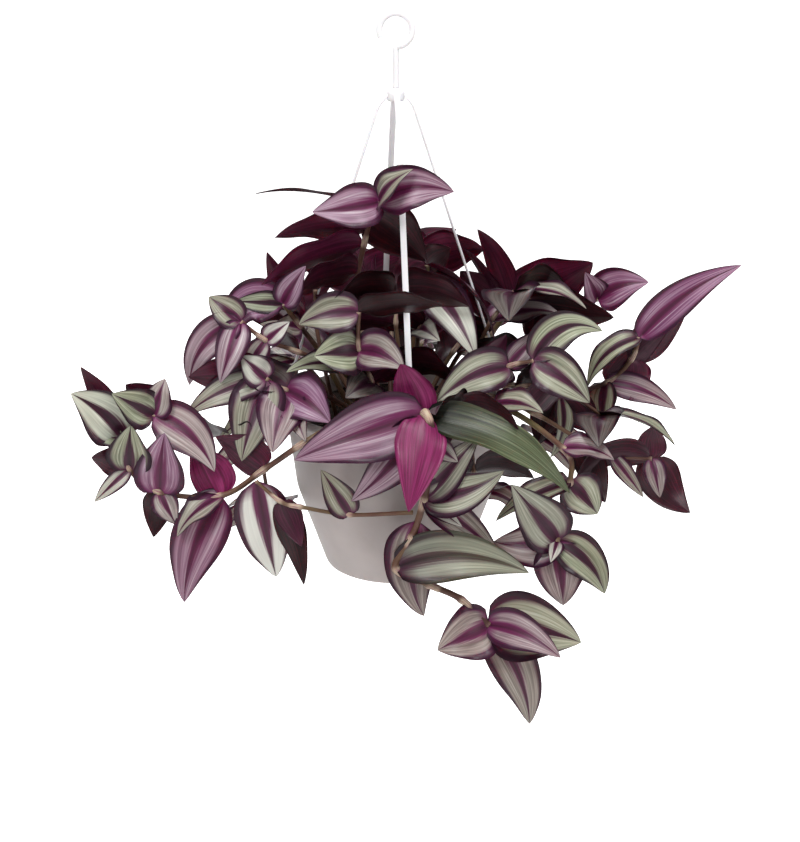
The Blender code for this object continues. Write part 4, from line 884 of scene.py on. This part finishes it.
lengthwise = put(tree, "Mapping", {"Vector": uv}, Scale=(24.0, 1.3, 1.0)).outputs["Vector"]
veins = put(tree, "TexNoise", {"Vector": lengthwise, "W": trait["chance"]}, noise_dimensions="4D", Scale=1.0,
            Detail=3.5, Roughness=0.55).outputs["Fac"]
streaked = put(tree, "Math", {0: veins, 1: 0.3, 2: spread}, operation="MULTIPLY_ADD").outputs[0]
from_midrib = put(tree, "Math", {0: place, 1: 0.26, 2: streaked}, operation="MULTIPLY_ADD").outputs[0]
from_margin = put(tree, "Math", {0: place, 1: -0.26, 2: streaked}, operation="MULTIPLY_ADD").outputs[0]
greenest = put(tree, "Math", {0: trait["green"], 1: 4.0}, operation="POWER").outputs[0]

# Every colour and mask that a blade mixes: those that follow a value on the blade, then two plain colours, a
# frost that is partly a painted highlight and a near-black painted shade.
shade = {name: put(tree, "ValToRGB", {"Fac": source}, stops).outputs["Color"] for name, source, stops in [
    ("deep", streaked, [(0.15, "260C1A"), (0.45, "4A1A34"), (0.8, "481A34"), (1.0, "24101C")]),
    ("violet", streaked, [(0.15, "42122E"), (0.45, "762A5A"), (0.8, "642450"), (1.0, "34122A")]),
    ("inside", from_midrib, [(0.42, "000000"), (0.56, "FFFFFF")]),
    ("outside", from_margin, [(0.72, "FFFFFF"), (0.86, "000000")]),
    ("root", place, [(0.03, "202020"), (0.16, "FFFFFF")]),
    ("dusk", place, [(0.05, "2C2C2C"), (0.5, "FFFFFF")]),
    ("lilac", veins, [(0.36, "6A3A5C"), (0.48, "8A5E7E"), (0.6, "A4869A"), (0.74, "C8BAC2")]),
    ("sage", veins, [(0.36, "6A6E58"), (0.48, "8A8E76"), (0.6, "A5A892"), (0.74, "CCCDBC")]),
    ("leafy", veins, [(0.34, "2B3220"), (0.5, "4C553B"), (0.7, "768062")]),
    # Undersides in shade: wine red darkened to near black, painted shade.
    ("wine", veins, [(0.34, "100406"), (0.5, "1E070C"), (0.7, "3C111A")]),
    ("bright", veins, [(0.34, "540F36"), (0.5, "73184C"), (0.7, "923268")]),
]}
# A pale frost that is partly a painted highlight, and a near-black painted shade.
shade.update(frost=linear("E6E6DE"), gloom=linear("140A0E"))

# Each mix in turn: what it makes, how, by how much, and of which two.
for name, blend, factor, first, second in [
    ("ground", "MIX", greenest, "violet", "deep"),
    ("band", "MULTIPLY", 1.0, "inside", "outside"),
    ("band", "MULTIPLY", 1.0, "band", "root"),
    ("silver", "MIX", trait["green"], "lilac", "sage"),
    ("silver", "MIX", trait["pale"], "silver", "frost"),
    ("upper", "MIX", "band", "ground", "silver"),
    ("leafy", "MULTIPLY", 1.0, "leafy", "dusk"),
    ("upper", "MIX", trait["plain"], "upper", "leafy"),
    # The upper side darkened with painted shade.
    ("upper", "MIX", trait["dark"], "upper", "gloom"),
    # Below: the lit magenta, or the wine red of painted shade.
    ("below", "MIX", trait["magenta"], "wine", "bright"),
    ("colour", "MIX", trait["under"], "upper", "below"),
]:
    factor = shade[factor] if isinstance(factor, str) else factor
    inputs = {"Fac": factor, "Color1": shade[first], "Color2": shade[second]}
    shade[name] = put(tree, "MixRGB", inputs, blend_type=blend).outputs["Color"]

cells = put(tree, "TexNoise", {"Vector": here}, Scale=1400.0, Detail=2.0).outputs["Fac"]
fine = put(tree, "Bump", {"Height": cells}, Strength=0.18, Distance=0.0004).outputs["Normal"]
bump = put(tree, "Bump", {"Height": veins, "Normal": fine}, Strength=0.25, Distance=0.0006)
gloss = put(tree, "MapRange", {"Value": cells}, To_Min=0.26, To_Max=0.5)
wire(tree, shader, {"Base Color": shade["colour"], "Roughness": gloss.outputs[0], "IOR": 1.4,
                    "Normal": bump.outputs["Normal"], "Subsurface Weight": 0.12,
                    "Subsurface Radius": (1.0, 0.35, 0.4), "Subsurface Scale": 0.002})


def leaf_surface(base, row, chance):
    """An upper and a lower grid joined round their border. Across the blade, v from -1 to 1 rises by f|v|^1.3
    with f = BLADE_FOLD + 0.5 exp(-t/0.07), ripples by sin(2 pi (2t + chance)) v|v|, and dips at the midrib.
    The blade twists by t^2 and its tip curls back by t^4."""
    t = np.linspace(0, 1, LEAF_LONG)
    v = np.linspace(-1, 1, LEAF_WIDE)
    mid, across, lift = blade_line(base, row, t)
    half = (row["width"] / 2 * outline(t))[:, None]
    long = np.linalg.norm(np.array(row["tip"]) - base)
    twist = (math.radians(LEAF_TWIST * (chance - 0.5)) * t**2)[:, None]
    across, lift = (across * np.cos(twist) + lift * np.sin(twist),
                    lift * np.cos(twist) - across * np.sin(twist))
    mid = mid - lift * (0.05 * long * (t[:, None] ** 4) * (0.4 + chance))
    fold = BLADE_FOLD + 0.5 * np.exp(-t[:, None] / 0.07)
    ripple = (0.05 + 0.08 * chance) * np.sin(2 * np.pi * (2 * t[:, None] + chance)) * v * np.abs(v)
    rise = half * (fold * np.abs(v) ** 1.3 + ripple) - 0.02 * np.exp(-(v / 0.07) ** 2)
    upper = mid[:, None] + across[:, None] * (half * v)[..., None] + lift[:, None] * rise[..., None]
    lower = upper - lift[:, None] * (LEAF_THICK * (1 - 0.5 * np.abs(v)))[None, :, None]
    count = LEAF_LONG * LEAF_WIDE
    top = quads(LEAF_LONG, LEAF_WIDE)
    number = np.arange(count).reshape(LEAF_LONG, LEAF_WIDE)
    border = np.r_[number[0, :-1], number[:-1, -1], number[-1, :0:-1], number[:0:-1, 0]]
    after = np.roll(border, -1)
    rim = np.column_stack([border, after, after + count, border + count])
    faces = np.vstack([top, top[:, ::-1] + count, rim])
    uv = np.stack(np.broadcast_arrays((v[None] + 1) / 2, t[:, None]), axis=-1).reshape(-1, 2)
    under = np.repeat([0.0, 1.0], count)
    return np.vstack([upper.reshape(-1, 3), lower.reshape(-1, 3)]), faces, np.vstack([uv, uv]), under


def leaf_piece(name, rows, rng, nodes):
    """Any number of leaves as one mesh, each with its own traits."""
    points, faces, uvs, values, first = [], [], [], {key: [] for key in TRAITS + ("under",)}, 0
    for row, base in rows:
        chance = rng.uniform()
        p, f, uv, under = leaf_surface(base, row, chance)
        points.append(p)
        faces.append(f + first)
        uvs.append(uv)
        first += len(p)
        drift = rng.normal(0, 0.12, 5) * (1, 0.6, 0.5, 0, 1)
        traits = list(np.clip(np.array(TONES[row["tone"]]) + drift, 0, 1)) + [chance * 9]
        for key, value in zip(TRAITS, traits):
            values[key].append(np.full(len(p), value))
        values["under"].append(under)
    values = {key: np.concatenate(value) for key, value in values.items()}
    piece(name, np.vstack(points), np.vstack(faces), striped_blade, "leaf", nodes, values, np.vstack(uvs),
          closed=False)


rng = np.random.default_rng(21)
for name, leaves in placed.items():
    radius, route, _ = shoots[name]
    grid, uv, values = stem_surface(route, radius)
    piece(name + "_stem", grid, quads(*grid.shape[:2], wraps=True), fleshy_stem, "stem", [name], values, uv)
    rooted = [(row, spot(route, row["node"])) for row, _ in leaves]
    joined = [(row, base) for row, base in rooted if not row["name"]]
    if joined:
        leaf_piece(name + "_leaves", joined, rng, [name])
    for row, base in rooted:
        if row["name"]:
            leaf_piece(row["name"] + "_blade", [(row, base)], rng, [row["name"]])

# ---- The setting -----------------------------------------------------------------------------------------
# A plain white sweep under and behind the plant, four soft lights round and over it, and the camera.

FLOOR_DROP = 0.60
CAMERA_AWAY = 1.10
CAMERA_RAISED = 18.0
ROOM_LIGHT = 0.36
FOCAL_LENGTH = 72.4
SHIFT_X = 0.005
SHIFT_Y = -0.025
PLANT_MIDDLE = (0, 0, -0.25)

# The paper glows white to the camera alone, so that the glow doesn't light the plant.
backdrop, tree, shader = finish_of("white_paper_sweep")
fibres = put(tree, "TexNoise", {"Vector": put(tree, "TexCoord").outputs["Object"]}, Scale=40.0).outputs["Fac"]
paper = put(tree, "ValToRGB", {"Fac": fibres}, [(0.3, "FAFAFA"), (0.7, "FDFDFD")])
seen = put(tree, "LightPath").outputs["Is Camera Ray"]
wire(tree, shader, {"Base Color": paper.outputs["Color"], "Emission Color": linear("FFFFFF"),
                    "Emission Strength": seen, "Roughness": 0.9, "Specular IOR Level": 0.1})
across = np.linspace(-6, 6, 13)
a = np.radians(np.linspace(0, 90, 17))[:, None]
sweep_y = np.vstack([[[-5.0]], 3.0 + 1.5 * np.sin(a), [[4.5]]])
sweep_z = np.vstack([[[0.0]], 1.5 - 1.5 * np.cos(a), [[6.0]]]) - FLOOR_DROP
sweep = np.stack(np.broadcast_arrays(across[None], sweep_y, sweep_z), axis=-1)
mesh = bpy.data.meshes.new("paper_sweep")
mesh.from_pydata(sweep.reshape(-1, 3).tolist(), [], quads(*sweep.shape[:2]).tolist())
mesh.polygons.foreach_set("use_smooth", np.ones(len(mesh.polygons), bool))
mesh.materials.append(backdrop)
floor = bpy.data.objects.new("paper_sweep", mesh)
bpy.context.scene.collection.objects.link(floor)
floor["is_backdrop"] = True

world = bpy.data.worlds.new("soft_room")
bpy.context.scene.world = world
world.use_nodes = True
seen = put(world.node_tree, "LightPath").outputs["Is Camera Ray"]
strength = put(world.node_tree, "MapRange", {"Value": seen}, To_Min=ROOM_LIGHT, To_Max=1.0)
wire(world.node_tree, world.node_tree.nodes["Background"],
     {"Color": (1.0, 1.0, 1.0, 1.0), "Strength": strength.outputs[0]})


def panel(name, place, size, watts):
    """A square soft light that looks from its place towards the plant's middle."""
    light = bpy.data.lights.new(name, "AREA")
    light.size = size
    light.energy = watts
    made = bpy.data.objects.new(name, light)
    made.location = place
    made.rotation_euler = (Vector(PLANT_MIDDLE) - Vector(place)).to_track_quat("-Z", "Y").to_euler()
    bpy.context.scene.collection.objects.link(made)


panel("key_panel", (-0.7, -1.3, 1.2), 0.7, 21)
panel("top_panel", (0.3, -0.3, 1.4), 0.6, 17)
panel("side_panel", (1.6, -0.8, 0.3), 0.8, 6)
panel("back_panel", (-0.5, 1.6, 0.4), 0.8, 7)

raised = math.radians(CAMERA_RAISED)
lens = bpy.data.cameras.new("camera")
lens.lens = FOCAL_LENGTH
lens.sensor_width = 36.0
lens.shift_x = SHIFT_X
lens.shift_y = SHIFT_Y
camera = bpy.data.objects.new("camera", lens)
camera.location = (0, -CAMERA_AWAY * math.cos(raised), -RIM_DROP * CM + CAMERA_AWAY * math.sin(raised))
camera.rotation_euler = (math.pi / 2 - raised, 0, 0)
bpy.context.scene.collection.objects.link(camera)
bpy.context.scene.camera = camera
bpy.context.scene.view_settings.view_transform = "Standard"

shown_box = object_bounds()
boxes = {"cad": cad_box, "visual": shown_box}
{key: [[float(x) for x in corner] for corner in box] for key, box in boxes.items()}
